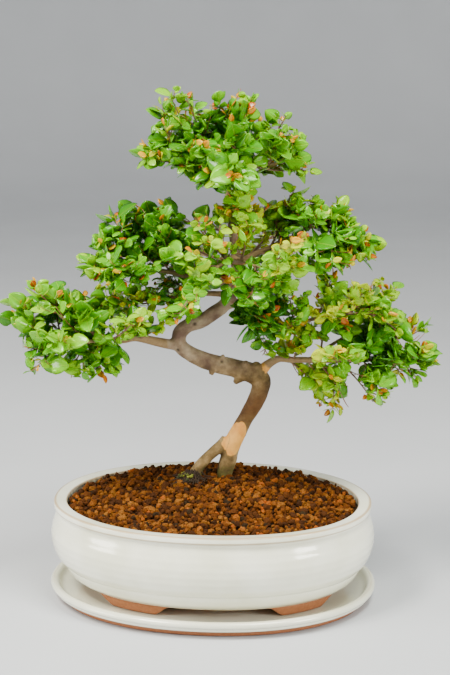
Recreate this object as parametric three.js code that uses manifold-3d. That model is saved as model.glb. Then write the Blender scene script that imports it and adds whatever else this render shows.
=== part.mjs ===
// A Chinese sweet plum bonsai in a glazed oval pot that stands in its drip tray.
// Millimetres, +Z up, the origin in the middle of the tray's underside, the front of the pot towards -Y.
import * as THREE from 'three';
import { mergeVertices } from 'three/addons/utils/BufferGeometryUtils.js';
import Module from 'manifold-3d';

const wasm = await Module();
wasm.setup();

// Driving dimensions
const POT_HALF_LENGTH = 140;
const POT_HALF_WIDTH = 108.5;
const OVAL_POWER = 2.1;
const OVAL_SEGMENTS = 36;
const GAP = 0.3;
const SOIL_GAP = 1.1;

const TRAY_HEIGHT = 14.5;
const TRAY_FLOOR = 6.5;

const FOOT_BOTTOM = TRAY_FLOOR + GAP;
const POT_BASE = 16.5;
const POT_FLOOR = 25;
const POT_TOP = 85.6;
const FOOT_REACH = 117.4;
const FOOT_TAPER = 3.4;
const FOOT_DEPTH = 15;
const FOOT_TURNS = [59, 137, 239, 317];
const FOOT_TOP_SPREAD = 37;
const FOOT_BOTTOM_SPREAD = 21;
const DRAIN_RADIUS = 9;
const DRAIN_PLACES = [-52, 52];
const MESH = { width: 28, thickness: 1.2, window: 9, offset: 6.5 };

const SOIL_EDGE = 82;
const SOIL_RISE = 16;
const SOIL_TOP_PLACE = { x: 2, y: 20 };
const SOIL_CELLS = 15;
const GRANULE_HEIGHT = 2.4;
const GRANULE_SHIFT = 0.28;

const LEAF_LENGTH = 20.5;
const LEAF_VARIES = 3.5;
const LEAF_RIB = 1.2;
const LEAF_FOLD = 0.22;
const LEAF_CURL = 0.14;
const ROUND_LEAF = [[0.22, 0.5], [0.5, 1], [0.82, 0.64]];
const SLIM_LEAF = [[0.36, 0.88], [0.72, 0.82]];
const ROUND_SHARE = 0.2;
const LEAF_TRIES = [[0, 1], [1, 1], [2, 0.9], [3, 0.85], [4, 0.78], [5, 0.72]];
const STEM_RADIUS = 1.1;
const STEM_BUDS = [0.36, 0.62, 0.86];
const BUD_LENGTH = 1.9;
const STEM_END = 0.97;
const TWIG_BUD = 0.52;
const TWIG_SHARE = 0.46;
const SEAT_STEP = 0.15;
const LATEST_START = 0.3;

// Limbs as points [x, y, z, radius] along their middle
const LIMBS = {
  trunk: [
    [2, 28, 62, 4], [5, 27, 82, 6.5], [7, 27, 98, 6.9], [11, 28, 113, 7.5], [13, 28, 124, 8.1],
    [20, 27, 138, 7.4], [26, 27, 150, 6.6], [33, 27, 162, 7.3], [38, 27, 174, 7.8],
    [39, 26, 185, 8.6], [30, 24, 192, 8.6], [18, 21, 196, 8.2], [6, 18, 199, 8], [-8, 14, 204, 7.1],
    [-20, 11, 210, 6.4], [-29, 9, 218, 6.4], [-29, 9, 228, 6.1], [-22, 10, 235, 6], [-12, 12, 238, 6.3],
    [-1, 14, 245, 6], [9, 15, 253, 5.7], [15, 15, 266, 5.1], [19, 14, 283, 4.7], [18, 12, 305, 4.2],
    [15, 10, 328, 3.6], [13, 8, 348, 3.3], [11, 6, 364, 2.5], [10, 5, 382, 1.7],
  ],
  leg: [[9, 27, 131, 4.6], [2, 24, 123, 4.9], [-6, 21, 116, 4.7], [-14, 18, 107, 5], [-18, 17, 97, 6.6],
    [-21, 17, 82, 5], [-25, 17, 68, 3]],
  right: [[36, 25, 190, 6], [47, 22, 201, 3.9], [56, 19, 206, 3.1], [66, 16, 206, 2.8], [80, 13, 207, 2.6],
    [94, 11, 207, 2.3], [116, 12, 211, 2], [142, 17, 208, 1.6], [165, 23, 208, 1.2]],
  rightBack: [[82, 13, 207, 2], [94, 24, 214, 1.8], [108, 42, 220, 1.5], [122, 58, 226, 1.2]],
  rightFront: [[98, 11, 207, 1.9], [112, -4, 212, 1.6], [126, -22, 214, 1.3]],
  left: [[-26, 10, 219, 5], [-33, 8, 218, 4.7], [-48, 2, 222, 4], [-64, -6, 227, 3.5], [-74, -11, 226, 3.3],
    [-93, -19, 225, 2.5], [-113, -23, 223, 2], [-134, -26, 227, 1.4]],
  leftBack: [[-66, -7, 227, 2.2], [-78, 10, 234, 1.8], [-92, 28, 240, 1.3]],
  leftFront: [[-80, -14, 226, 2], [-92, -36, 230, 1.7], [-102, -54, 232, 1.2]],
  upperLeft: [[17, 14, 272, 3.6], [-11, 5, 276, 2.6], [-38, -4, 284, 2], [-72, -12, 288, 1.4]],
  middleLeft: [[14, 15, 262, 3], [-12, 4, 264, 2], [-38, -8, 262, 1.4]],
  upperRight: [[18, 14, 288, 3.4], [41, 13, 300, 2.6], [69, 12, 311, 2], [102, 12, 312, 1.4]],
  hook: [[6, 15, 250, 4], [17, 14, 254, 3.6], [29, 12, 256, 3.7], [40, 10, 253, 3.9], [46, 9, 245, 4],
    [47, 9, 236, 4], [49, 8, 226, 3.2]],
  hookTwig: [[48, 8, 229, 1.9], [70, 2, 240, 1.6], [95, -2, 248, 1.4], [124, -2, 252, 1.2]],
  back: [[17, 14, 278, 3.4], [22, 38, 284, 2.6], [30, 62, 292, 1.9], [38, 84, 298, 1.3]],
  backLeft: [[20, 32, 282, 2], [4, 48, 286, 1.7], [-18, 62, 288, 1.2]],
  front: [[18, 12, 296, 3], [16, -12, 296, 2.2], [8, -36, 294, 1.5]],
  frontRight: [[17, 0, 297, 1.9], [34, -18, 294, 1.6], [54, -34, 290, 1.2]],
  apexLeft: [[12, 6, 360, 2.3], [-9, 0, 370, 1.7], [-28, -6, 377, 1.2]],
  apexRight: [[12, 6, 363, 2.2], [34, 8, 371, 1.7], [56, 9, 375, 1.2]],
  apexBack: [[12, 7, 356, 2.1], [16, 26, 366, 1.6], [18, 42, 374, 1.2]],
  apexFront: [[11, 6, 367, 1.9], [14, -14, 372, 1.5], [18, -28, 374, 1.2]],
};
const LIMB_SIDES = { trunk: 8, leg: 8 };
const LIMB_STEP = { trunk: 13, leg: 12 };
const LOWEST_LEAFY = { trunk: 250, leg: 500, right: 200 };
const STUBS = [
  [[27, 20, 196, 3.4], [27, 15, 204, 2]],
  [[6, 18, 203, 3.2], [8, 13, 209, 2]],
  [[0, 12, 199, 3.4], [-2, 8, 193, 2.2]],
  [[22, 22, 187, 3.4], [17, 18, 184, 2.4]],
  [[37, 22, 193, 5], [34, 18, 200, 2.6]],
];

// Where each leafy spray's stem ends, cloud by cloud
const CLOUDS = {
  apex: [[-38, -6, 414], [-48, -20, 384], [-12, 30, 410], [12, -6, 420], [38, 30, 406], [60, -12, 396],
    [68, 16, 376], [-14, -36, 392], [26, -38, 368], [-6, -34, 362]],
  upper_left: [[-90, -10, 312], [-62, 6, 326], [-38, -26, 322], [-70, -46, 294], [-36, 36, 310],
    [-82, 24, 284], [-8, -30, 332], [-26, -38, 300]],
  upper_right: [[60, 18, 336], [88, -8, 332], [108, 16, 323], [129, 2, 299], [128, -22, 276],
    [34, -26, 326], [74, -54, 300], [50, 56, 322], [106, -24, 298]],
  lower_left: [[-163, -22, 244], [-136, -2, 262], [-148, -36, 222], [-113, -42, 204], [-98, -44, 254],
    [-124, -64, 236], [-94, 44, 244], [-72, -16, 258], [-92, -34, 204]],
  lower_right: [[178, 20, 216], [154, 10, 236], [146, 22, 258], [158, 2, 202], [140, -4, 184],
    [112, 2, 176], [88, 14, 188], [104, -34, 222], [134, 76, 238]],
  middle: [[-4, -40, 276], [38, -44, 270], [-28, -36, 256], [-14, 52, 262], [44, 2, 214],
    [66, -28, 246], [57, 60, 262], [-58, 10, 264], [62, -30, 278]],
};
const CLEAR_OF_OTHERS = 0.45;
const CLEAR_IN_SPRAY = 0.3;
const CLEAR_OF_STEM = 0.2;

const UP = new THREE.Vector3(0, 0, 1);

function material(color, roughness, metalness = 0) {
  return new THREE.MeshStandardMaterial({ color, roughness, metalness });
}

/** A number from 0 to 1 that depends on the keys alone, so that every build grows the same tree. */
function chance(first, second, third) {
  const wave = Math.sin(first * 127.1 + second * 311.7 + third * 74.7) * 4375.85;
  return wave - Math.floor(wave);
}

/** The geometry as a solid: shared corners merged, empty triangles dropped and the faces turned out. */
function toSolid(geometry) {
  geometry.deleteAttribute('normal');
  geometry.deleteAttribute('uv');
  const merged = mergeVertices(geometry, 1e-4);
  const place = merged.attributes.position;
  const triangles = [];
  const [a, b, c] = [new THREE.Vector3(), new THREE.Vector3(), new THREE.Vector3()];
  let volume = 0;
  for (let i = 0; i < merged.index.count; i += 3) {
    const corners = [0, 1, 2].map((k) => merged.index.getX(i + k));
    if (new Set(corners).size < 3) continue;
    a.fromBufferAttribute(place, corners[0]);
    b.fromBufferAttribute(place, corners[1]);
    c.fromBufferAttribute(place, corners[2]);
    volume += a.dot(b.cross(c));
    triangles.push(...corners);
  }
  if (volume < 0) triangles.reverse();
  return new wasm.Manifold(new wasm.Mesh({
    numProp: 3,
    vertProperties: new Float32Array(place.array),
    triVerts: new Uint32Array(triangles),
  }));
}

/** The solid's corners and triangles as a geometry to show. */
function toGeometry(solid) {
  const mesh = solid.getMesh();
  const geometry = new THREE.BufferGeometry();
  geometry.setAttribute('position', new THREE.BufferAttribute(new Float32Array(mesh.vertProperties), 3));
  geometry.setIndex([...mesh.triVerts]);
  geometry.computeVertexNormals();
  return geometry;
}

function named(name, solid, look) {
  const mesh = new THREE.Mesh(toGeometry(solid), look);
  mesh.name = name;
  return mesh;
}

/** The point at angle `turn` on the oval that reaches `reach` along X; all ovals are evenly inset. */
function ovalPoint(reach, turn, height) {
  const halfWidth = Math.max(reach - POT_HALF_LENGTH + POT_HALF_WIDTH, reach / 2);
  const [c, s] = [Math.cos(turn), Math.sin(turn)];
  const stretch = (Math.abs(c) ** OVAL_POWER + Math.abs(s) ** OVAL_POWER) ** (-1 / OVAL_POWER);
  return new THREE.Vector3(reach * stretch * c, halfWidth * stretch * s, height);
}

/** A lathe turned on an oval: profile points are [reach along X, height]. */
function ovalLathe(profile) {
  const outline = profile.map(([reach, height]) => new THREE.Vector2(reach, height));
  const geometry = new THREE.LatheGeometry(outline, OVAL_SEGMENTS);
  const place = geometry.attributes.position;
  for (let i = 0; i < place.count; i += 1) {
    const reach = Math.hypot(place.getX(i), place.getZ(i));
    const turn = reach > 0 ? Math.atan2(place.getX(i), place.getZ(i)) : 0;
    const point = ovalPoint(reach, turn, place.getY(i));
    place.setXYZ(i, point.x, point.y, point.z);
  }
  return toSolid(geometry);
}

/** The drip tray: a thrown oval saucer with a rolled rim, a groove under it and a bare clay foot band. */
function makeTray() {
  return ovalLathe([
    [0, 0], [132, 0], [134, 4.5], [138, 6], [138.8, 8.4], [141.1, 10], [141.1, 12.4],
    [138.6, TRAY_HEIGHT], [135, TRAY_HEIGHT - 0.8], [131.6, 7.4], [128, TRAY_FLOOR], [0, TRAY_FLOOR],
  ]);
}

/** One bracket foot: a box bent along the oval, wide at the pot, narrower and drawn in at the tray. */
function makeFoot(middleTurn) {
  const box = new THREE.BoxGeometry(1, 1, 1, 5, 1, 1);
  const place = box.attributes.position;
  for (let i = 0; i < place.count; i += 1) {
    const isTop = place.getZ(i) > 0;
    const spread = isTop ? FOOT_TOP_SPREAD : FOOT_BOTTOM_SPREAD;
    const turn = THREE.MathUtils.degToRad(middleTurn + place.getX(i) * spread);
    const outside = isTop ? FOOT_REACH : FOOT_REACH - FOOT_TAPER;
    const reach = outside + (place.getY(i) - 0.5) * FOOT_DEPTH;
    const point = ovalPoint(reach, turn, isTop ? POT_BASE + 1 : FOOT_BOTTOM);
    place.setXYZ(i, point.x, point.y, point.z);
  }
  return toSolid(box);
}

/** The pot: a bellied oval bowl with a flat inward-sloping rim, four feet and two drainage holes. */
function makePot() {
  const bowl = ovalLathe([
    [0, POT_BASE], [118, POT_BASE], [125.4, 21.5], [130.3, 32], [137.5, 42], [140, 54],
    [138.8, 64.5], [135.6, 73], [134.9, 79], [137.2, 80.6], [137.2, 84.4], [135.4, POT_TOP],
    [126.2, POT_TOP - 1], [127, 76], [130, 58], [125, 38], [108, POT_FLOOR], [0, POT_FLOOR],
  ]);
  const feet = FOOT_TURNS.map(makeFoot);
  const drains = DRAIN_PLACES.map((x) => {
    const drill = new THREE.CylinderGeometry(DRAIN_RADIUS, DRAIN_RADIUS, 20, 16);
    drill.rotateX(Math.PI / 2).translate(x, 0, (POT_BASE + POT_FLOOR) / 2);
    return toSolid(drill);
  });
  return wasm.Manifold.union([bowl, ...feet]).subtract(wasm.Manifold.union(drains));
}

/** The plastic mesh over a drainage hole: a thin square plate with four square windows. */
function makeDrainMesh(centreX) {
  const height = POT_FLOOR + GAP + MESH.thickness / 2;
  const plate = new THREE.BoxGeometry(MESH.width, MESH.width, MESH.thickness);
  const windows = [[-1, -1], [1, -1], [1, 1], [-1, 1]].map(([u, v]) => {
    const window = new THREE.BoxGeometry(MESH.window, MESH.window, 3 * MESH.thickness);
    return toSolid(window.translate(centreX + u * MESH.offset, v * MESH.offset, height));
  });
  return toSolid(plate.translate(centreX, 0, height)).subtract(wasm.Manifold.union(windows));
}

/** The soil's smooth height: low at the pot's wall, domed up towards the foot of the trunk. */
function soilHeight(x, y) {
  const along = (x - SOIL_TOP_PLACE.x) / POT_HALF_LENGTH;
  const across = (y - SOIL_TOP_PLACE.y) / POT_HALF_WIDTH;
  const fall = Math.min(1, Math.hypot(along, across) / 0.95);
  return SOIL_EDGE + SOIL_RISE * (0.5 + 0.5 * Math.cos(Math.PI * fall)) ** 0.8;
}

/** The soil: a square net laid over the oval, each inner knot raised or sunk as a coarse granule. */
function makeSoil(wood) {
  const net = new THREE.PlaneGeometry(2, 2, SOIL_CELLS, SOIL_CELLS);
  const place = net.attributes.position;
  const edgeKnots = [];
  for (let i = 0; i < place.count; i += 1) {
    const [row, column] = [Math.floor(i / (SOIL_CELLS + 1)), i % (SOIL_CELLS + 1)];
    const onEdge = row % SOIL_CELLS === 0 || column % SOIL_CELLS === 0;
    const shift = onEdge ? 0 : GRANULE_SHIFT * 2 / SOIL_CELLS;
    const u = place.getX(i) + shift * (2 * chance(row, column, 1) - 1);
    const v = place.getY(i) + shift * (2 * chance(row, column, 2) - 1);
    const [discX, discY] = [u * Math.sqrt(1 - v * v / 2), v * Math.sqrt(1 - u * u / 2)];
    const out = Math.hypot(discX, discY);
    const rim = ovalPoint(126.2 - SOIL_GAP, Math.atan2(discY, discX), 0);
    const [x, y] = [rim.x * out, rim.y * out];
    const lump = onEdge ? 0 : GRANULE_HEIGHT * (2 * chance(row, column, 3) - 1);
    place.setXYZ(i, x, y, soilHeight(x, y) + lump);
    if (onEdge) edgeKnots.push([Math.atan2(y, x), x, y, place.getZ(i), Math.atan2(discY, discX)]);
  }
  edgeKnots.sort((left, right) => left[4] - right[4]);
  const corners = [];
  const net3 = net.index.array;
  for (let i = 0; i < net3.length; i += 1) {
    corners.push(new THREE.Vector3().fromBufferAttribute(place, net3[i]));
  }
  const levels = [[130, 58], [125, 38], [108, POT_FLOOR + GAP]];
  let upper = edgeKnots.map(([, x, y, z]) => new THREE.Vector3(x, y, z));
  for (const [reach, height] of levels) {
    const lower = edgeKnots.map((knot) => ovalPoint(reach - SOIL_GAP, knot[4], height));
    for (let i = 0; i < upper.length; i += 1) {
      const next = (i + 1) % upper.length;
      corners.push(upper[i], lower[i], lower[next], upper[i], lower[next], upper[next]);
    }
    upper = lower;
  }
  const middle = new THREE.Vector3(0, 0, POT_FLOOR + GAP);
  for (let i = 0; i < upper.length; i += 1) {
    corners.push(upper[i], middle, upper[(i + 1) % upper.length]);
  }
  const body = toSolid(new THREE.BufferGeometry().setFromPoints(corners));
  const pockets = DRAIN_PLACES.map((x) => {
    const side = MESH.width + 2 * GAP;
    const box = new THREE.BoxGeometry(side, side, 2 * (MESH.thickness + 2 * GAP));
    return toSolid(box.translate(x, 0, POT_FLOOR));
  });
  return body.subtract(wasm.Manifold.union([wood, ...pockets]));
}

/** The smooth line through a limb's points, and its radius at parameter t from 0 to 1. */
function limbLine(points) {
  const knots = points.map(([x, y, z]) => new THREE.Vector3(x, y, z));
  const curve = new THREE.CatmullRomCurve3(knots, false, 'catmullrom', 0.5);
  const radiusAt = (t) => {
    const place = t * (points.length - 1);
    const first = Math.min(Math.floor(place), points.length - 2);
    return THREE.MathUtils.lerp(points[first][3], points[first + 1][3], place - first);
  };
  return { curve, radiusAt };
}

/** A round limb: a cylinder bent along its line, `extra` stouter than its radius. */
function makeLimb(points, sides, step, extra) {
  const { curve, radiusAt } = limbLine(points);
  const steps = Math.max(1, Math.round(curve.getLength() / step));
  const frames = curve.computeFrenetFrames(steps);
  const bar = new THREE.CylinderGeometry(1, 1, 1, sides, steps);
  const place = bar.attributes.position;
  const point = new THREE.Vector3();
  for (let i = 0; i < place.count; i += 1) {
    const ring = Math.round((0.5 - place.getY(i)) * steps);
    const radius = radiusAt(curve.getUtoTmapping(ring / steps)) + extra;
    curve.getPointAt(ring / steps, point);
    if (ring === 0) point.addScaledVector(curve.getTangentAt(0), -extra);
    if (ring === steps) point.addScaledVector(curve.getTangentAt(1), extra);
    point.addScaledVector(frames.normals[ring], place.getX(i) * radius);
    point.addScaledVector(frames.binormals[ring], place.getZ(i) * radius);
    place.setXYZ(i, point.x, point.y, point.z);
  }
  return toSolid(bar);
}

/** The tree's wood in one piece: trunk, second leg, branches and the stubs of pruned twigs. */
function makeWood(extra = 0) {
  const limbs = Object.entries(LIMBS).map(([name, points]) => (
    makeLimb(points, LIMB_SIDES[name] ?? 5, LIMB_STEP[name] ?? 22, extra)));
  const stubs = STUBS.map((points) => makeLimb(points, 5, 20, extra));
  return wasm.Manifold.union([...limbs, ...stubs]);
}

/** How far to turn the second ring's numbering so that it meets the first with the least twist. */
function leastTwist(first, second) {
  const twist = [0, 1, 2, 3].map((shift) => first.reduce((sum, corner, k) => (
    sum + corner.distanceToSquared(second[(k + shift) % 4])), 0));
  return twist.indexOf(Math.min(...twist));
}

/** One closed skin made of rings of four corners, with leaves and twigs drawn out of its side faces. */
class Skin {
  corners = [];

  triangles = [];

  addRing(points) {
    this.corners.push(...points);
    const last = this.corners.length;
    return [last - 4, last - 3, last - 2, last - 1];
  }

  /** Adds a wall, parted along the diagonal that stands out, so that a twisted tube stays open. */
  addQuad([a, b, c, d]) {
    const [first, second, third, fourth] = [a, b, c, d].map((corner) => this.corners[corner]);
    const out = new THREE.Triangle(first, second, third).getNormal(new THREE.Vector3());
    const hollow = out.dot(new THREE.Vector3().subVectors(fourth, first)) > 0;
    this.triangles.push(...(hollow ? [a, b, d, b, c, d] : [a, b, c, a, c, d]));
  }

  /** Draws a tube out of an open face through its rings; buds[wall][side] grows out of that side. */
  growTube(from, rings, buds = {}) {
    const shift = leastTwist(from.map((corner) => this.corners[corner]), rings[0]);
    let ring = from;
    rings.forEach((points, wall) => {
      const next = this.addRing(points.map((_, k) => points[(k + shift) % 4]));
      for (let k = 0; k < 4; k += 1) {
        const face = [ring[k], ring[(k + 1) % 4], next[(k + 1) % 4], next[k]];
        const bud = buds[wall]?.[(k + shift) % 4];
        if (bud) bud(face);
        else this.addQuad(face);
      }
      ring = next;
    });
    return ring;
  }

  growLeaf(from, leaf) {
    const { rings, tip } = leafRings(leaf);
    const last = this.growTube(from, rings);
    this.corners.push(tip);
    const end = this.corners.length - 1;
    for (let k = 0; k < 4; k += 1) this.triangles.push(last[k], last[(k + 1) % 4], end);
  }

  /** Starts the skin with a closed root ring. */
  start(points) {
    const ring = this.addRing(points);
    this.addQuad([...ring].reverse());
    return ring;
  }

  solid() {
    const points = this.triangles.map((corner) => this.corners[corner]);
    return toSolid(new THREE.BufferGeometry().setFromPoints(points));
  }
}

/** Four corners round a point of a stem, square to `along`, with `side` to the right. */
function stemRing(centre, along, side, radius) {
  const lift = new THREE.Vector3().crossVectors(along, side).normalize();
  return [[1, 1], [-1, 1], [-1, -1], [1, -1]].map(([across, up]) => centre.clone()
    .addScaledVector(side, across * radius * Math.SQRT1_2)
    .addScaledVector(lift, up * radius * Math.SQRT1_2));
}

/** A leaf's rings: pointed oval outline, folded up from the rib and curled down towards its tip. */
function leafRings({ root, along, face, across, length, width, stations }) {
  const middle = (u) => root.clone().addScaledVector(along, u * length)
    .addScaledVector(face, -LEAF_CURL * length * u * u);
  const rings = stations.map(([u, share]) => {
    const half = share * width / 2;
    const edge = (hand) => middle(u).addScaledVector(across, hand * half)
      .addScaledVector(face, LEAF_FOLD * half);
    const rib = (hand) => middle(u).addScaledVector(face, hand * LEAF_RIB / 2);
    return [edge(1), rib(1), edge(-1), rib(-1)];
  });
  return { rings, tip: middle(1) };
}

/** A loose solid of one leaf, to try its place; `skip` leaves out that share of the way to its first ring. */
function leafSolid(leaf, skip = 0) {
  const [ring] = leafRings(leaf).rings;
  const shift = leastTwist(leaf.foot, ring);
  const skin = new Skin();
  skin.growLeaf(skin.start(leaf.foot.map((corner, k) => corner.clone().lerp(ring[(k + shift) % 4], skip))), leaf);
  return skin.solid();
}

function tubeSolid(rings) {
  const skin = new Skin();
  skin.addQuad(skin.growTube(skin.start(rings[0]), rings.slice(1)));
  return skin.solid();
}

/** The wood's lines that may carry leaves, as points with their direction. */
function leafyPlaces() {
  const places = [];
  for (const [name, points] of Object.entries(LIMBS)) {
    const lowest = LOWEST_LEAFY[name] ?? 0;
    const { curve } = limbLine(points);
    const samples = (points.length - 1) * 8;
    for (let i = 4; i <= samples; i += 1) {
      const point = curve.getPoint(i / samples);
      if (point.z > lowest) places.push({ point, along: curve.getTangent(i / samples) });
    }
  }
  return places;
}

/** Picks where a spray leaves the wood: close by, growing forward and not beside an earlier one. */
function chooseRoot(places, tip, taken) {
  let best = null;
  for (const { point, along } of places) {
    const way = new THREE.Vector3().subVectors(tip, point);
    const reach = way.length();
    const forward = way.dot(along) / Math.max(reach, 1);
    const crowded = taken.some((root) => root.distanceTo(point) < 6) ? 20 : 0;
    const cost = reach * (1.9 - 0.9 * forward) + crowded;
    if (!best || cost < best.cost) best = { point, cost };
  }
  return best.point;
}

/** A stem's arc from its root to its tip, bent up, or over where it hangs. */
function stemCurve(root, tip) {
  const reach = root.distanceTo(tip);
  const bow = tip.z > root.z - 6 ? -0.13 : 0.2;
  const bend = new THREE.Vector3().lerpVectors(root, tip, 0.5).addScaledVector(UP, bow * reach);
  return new THREE.QuadraticBezierCurve3(root, bend, tip);
}

/** The frame at a place on a stem: its point, direction and right-hand side. */
function stemFrame(curve, t) {
  const along = curve.getTangent(t);
  const chord = new THREE.Vector3().subVectors(curve.v2, curve.v0);
  const side = new THREE.Vector3().crossVectors(chord, UP);
  if (side.length() < 0.2 * chord.length()) side.set(0, 1, 0).cross(chord);
  side.addScaledVector(along, -side.dot(along)).normalize();
  return { point: curve.getPoint(t), along, side };
}

/** A stem's rings: one at the root, one before and one after each bud, and one near the tip. */
function stemRings(curve, start, buds, radius) {
  const half = BUD_LENGTH / 2 / curve.getLength();
  const stations = [start, ...buds.flatMap((t) => [t - half, t + half]), STEM_END];
  return stations.map((t) => {
    const { point, along, side } = stemFrame(curve, t);
    return stemRing(point, along, side, radius * (1.1 - 0.4 * t));
  });
}

/** The face of a stem's wall that a leaf or twig grows out of. */
function budFace(rings, wall, side) {
  const [low, high] = [rings[wall], rings[wall + 1]];
  const next = (side + 1) % 4;
  return [low[side], low[next], high[next], high[side]];
}

/** A leaf at a stem's bud, turned forward and out of its cloud; `turn` tries another way to lie. */
function placeLeaf(foot, frame, hand, spray, number, turn, size) {
  const draw = (k) => 2 * chance(spray.key, number + 17 * turn, k) - 1;
  const along = new THREE.Vector3()
    .addScaledVector(frame.along, hand === 0 ? 1 : 0.45 + 0.2 * draw(1))
    .addScaledVector(frame.side, hand === 0 ? 0.2 * draw(2) : 0.95 * hand)
    .addScaledVector(UP, 0.22 + 0.3 * draw(3))
    .addScaledVector(spray.outward, 0.25)
    .normalize();
  const face = new THREE.Vector3()
    .addScaledVector(UP, 0.65)
    .addScaledVector(spray.outward, 0.8)
    .addScaledVector(frame.side, 0.6 * draw(4))
    .addScaledVector(frame.along, 0.3 * draw(5) - 0.3);
  face.addScaledVector(along, -face.dot(along)).normalize();
  const across = new THREE.Vector3().crossVectors(face, along);
  const root = frame.point.clone().addScaledVector(frame.side, hand * STEM_RADIUS * 0.7);
  const length = (LEAF_LENGTH + LEAF_VARIES * draw(6)) * size;
  const width = length * (0.8 + 0.1 * draw(7));
  const stations = chance(spray.key, number, 8) < ROUND_SHARE ? ROUND_LEAF : SLIM_LEAF;
  return { foot, root, along, face, across, length, width, stations };
}

/** Keeps the loose solids that have been placed, and says whether a new one has room among them. */
class Room {
  placed = [];

  add(owner, solid) {
    this.placed.push({ owner, solid, box: solid.boundingBox() });
  }

  isFree(owner, solid, parent) {
    const { min, max } = solid.boundingBox();
    return this.placed.every((other) => {
      if (other.solid === parent) return true;
      const { box } = other;
      const apart = [0, 1, 2].some((k) => min[k] > box.max[k] + 1 || max[k] < box.min[k] - 1);
      const clear = other.owner === owner ? CLEAR_IN_SPRAY : CLEAR_OF_OTHERS;
      return apart || solid.minGap(other.solid, 1) >= clear;
    });
  }
}

/** Plans each spray's stem, seated just clear of the wood. */
function planSprays(wood, room) {
  const places = leafyPlaces();
  const taken = [];
  const sprays = [];
  for (const [cloud, tips] of Object.entries(CLOUDS)) {
    const centre = new THREE.Vector3();
    tips.forEach((tip) => centre.add(new THREE.Vector3(...tip).divideScalar(tips.length)));
    tips.forEach((place, number) => {
      const tip = new THREE.Vector3(...place);
      const root = chooseRoot(places, tip, taken);
      taken.push(root);
      const curve = stemCurve(root, tip);
      const outward = new THREE.Vector3().subVectors(tip, centre).setZ(0).normalize();
      let start = 0;
      let rings = stemRings(curve, start, STEM_BUDS, STEM_RADIUS);
      while (start < LATEST_START && tubeSolid(rings.slice(0, 2)).minGap(wood, 1) < GAP) {
        start += SEAT_STEP / curve.getLength();
        rings = stemRings(curve, start, STEM_BUDS, STEM_RADIUS);
      }
      const name = `spray_${cloud}_${number + 1}`;
      const stem = tubeSolid(rings);
      sprays.push({ name, key: sprays.length + 1, curve, outward, rings, stem, buds: {} });
      room.add(name, stem);
    });
  }
  return sprays;
}

/** Tries a few ways to lay one leaf and returns the first that has room, or nothing. */
function tryLeaf(spray, room, foot, frame, hand, number, parent) {
  for (const [turn, size] of LEAF_TRIES) {
    const leaf = placeLeaf(foot, frame, hand, spray, number, turn, size);
    const solid = leafSolid(leaf);
    const offStem = leafSolid(leaf, 0.25).minGap(parent, 1) >= CLEAR_OF_STEM;
    if (offStem && room.isFree(spray.name, solid, parent)) {
      room.add(spray.name, solid);
      return leaf;
    }
  }
  return null;
}

/** Plans the side twig at the first bud, on the hand that has room for it. */
function planTwig(spray, room) {
  const { point, along, side } = stemFrame(spray.curve, STEM_BUDS[0]);
  const reach = spray.curve.getLength() * TWIG_SHARE;
  const first = chance(spray.key, 3, 1) < 0.5 ? 1 : -1;
  for (const hand of [first, -first]) {
    const root = point.clone().addScaledVector(side, hand * STEM_RADIUS * 0.7);
    const tip = point.clone().addScaledVector(along, 0.5 * reach)
      .addScaledVector(side, 0.82 * hand * reach).addScaledVector(UP, 0.16 * reach);
    const curve = stemCurve(root, tip);
    const rings = stemRings(curve, 0.08, [TWIG_BUD], STEM_RADIUS * 0.85);
    const solid = tubeSolid(rings);
    if (room.isFree(spray.name, solid, spray.stem)) {
      room.add(spray.name, solid);
      return { hand, curve, rings: rings.slice(1), solid, buds: {} };
    }
  }
  return null;
}

const SIDES = [[1, 3], [-1, 1]];

/** Gives every stem its twig and leaves, the outermost first, where they have room. */
function planLeaves(sprays, room) {
  sprays.forEach((spray) => { spray.twig = planTwig(spray, room); });
  for (const spray of sprays) {
    spray.end = tryLeaf(spray, room, spray.rings.at(-1), stemFrame(spray.curve, 1), 0, 0, spray.stem);
    const { twig } = spray;
    if (!twig) continue;
    twig.end = tryLeaf(spray, room, twig.rings.at(-1), stemFrame(twig.curve, 1), 0, 1, twig.solid);
  }
  [2, 1, 0].forEach((bud) => {
    for (const spray of sprays) {
      const frame = stemFrame(spray.curve, STEM_BUDS[bud]);
      const open = SIDES.filter(([hand]) => bud > 0 || spray.twig?.hand !== hand);
      spray.buds[bud] = open.map(([hand, side]) => {
        const foot = budFace(spray.rings, 2 * bud + 1, side);
        return [side, tryLeaf(spray, room, foot, frame, hand, 2 + 2 * bud + side, spray.stem)];
      });
    }
  });
  for (const spray of sprays) {
    const { twig } = spray;
    if (!twig) continue;
    const frame = stemFrame(twig.curve, TWIG_BUD);
    twig.leaves = SIDES.map(([hand, side]) => {
      const foot = budFace(twig.rings, 0, side);
      return [side, tryLeaf(spray, room, foot, frame, hand, 10 + side, twig.solid)];
    });
  }
}

/** Fuses a spray's stem, side twig and leaves into one skin. */
function buildSpray(spray) {
  const skin = new Skin();
  const leafBuds = (leaves) => Object.fromEntries(leaves.filter(([, leaf]) => leaf)
    .map(([side, leaf]) => [side, (face) => skin.growLeaf(face, leaf)]));
  const close = (ring, leaf) => (leaf ? skin.growLeaf(ring, leaf) : skin.addQuad(ring));
  const walls = {};
  STEM_BUDS.forEach((_, bud) => { walls[2 * bud + 1] = leafBuds(spray.buds[bud]); });
  const { twig } = spray;
  if (twig) {
    walls[1][twig.hand > 0 ? 3 : 1] = (face) => {
      close(skin.growTube(face, twig.rings, { 1: leafBuds(twig.leaves) }), twig.end);
    };
  }
  close(skin.growTube(skin.start(spray.rings[0]), spray.rings.slice(1), walls), spray.end);
  return skin.solid();
}

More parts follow.
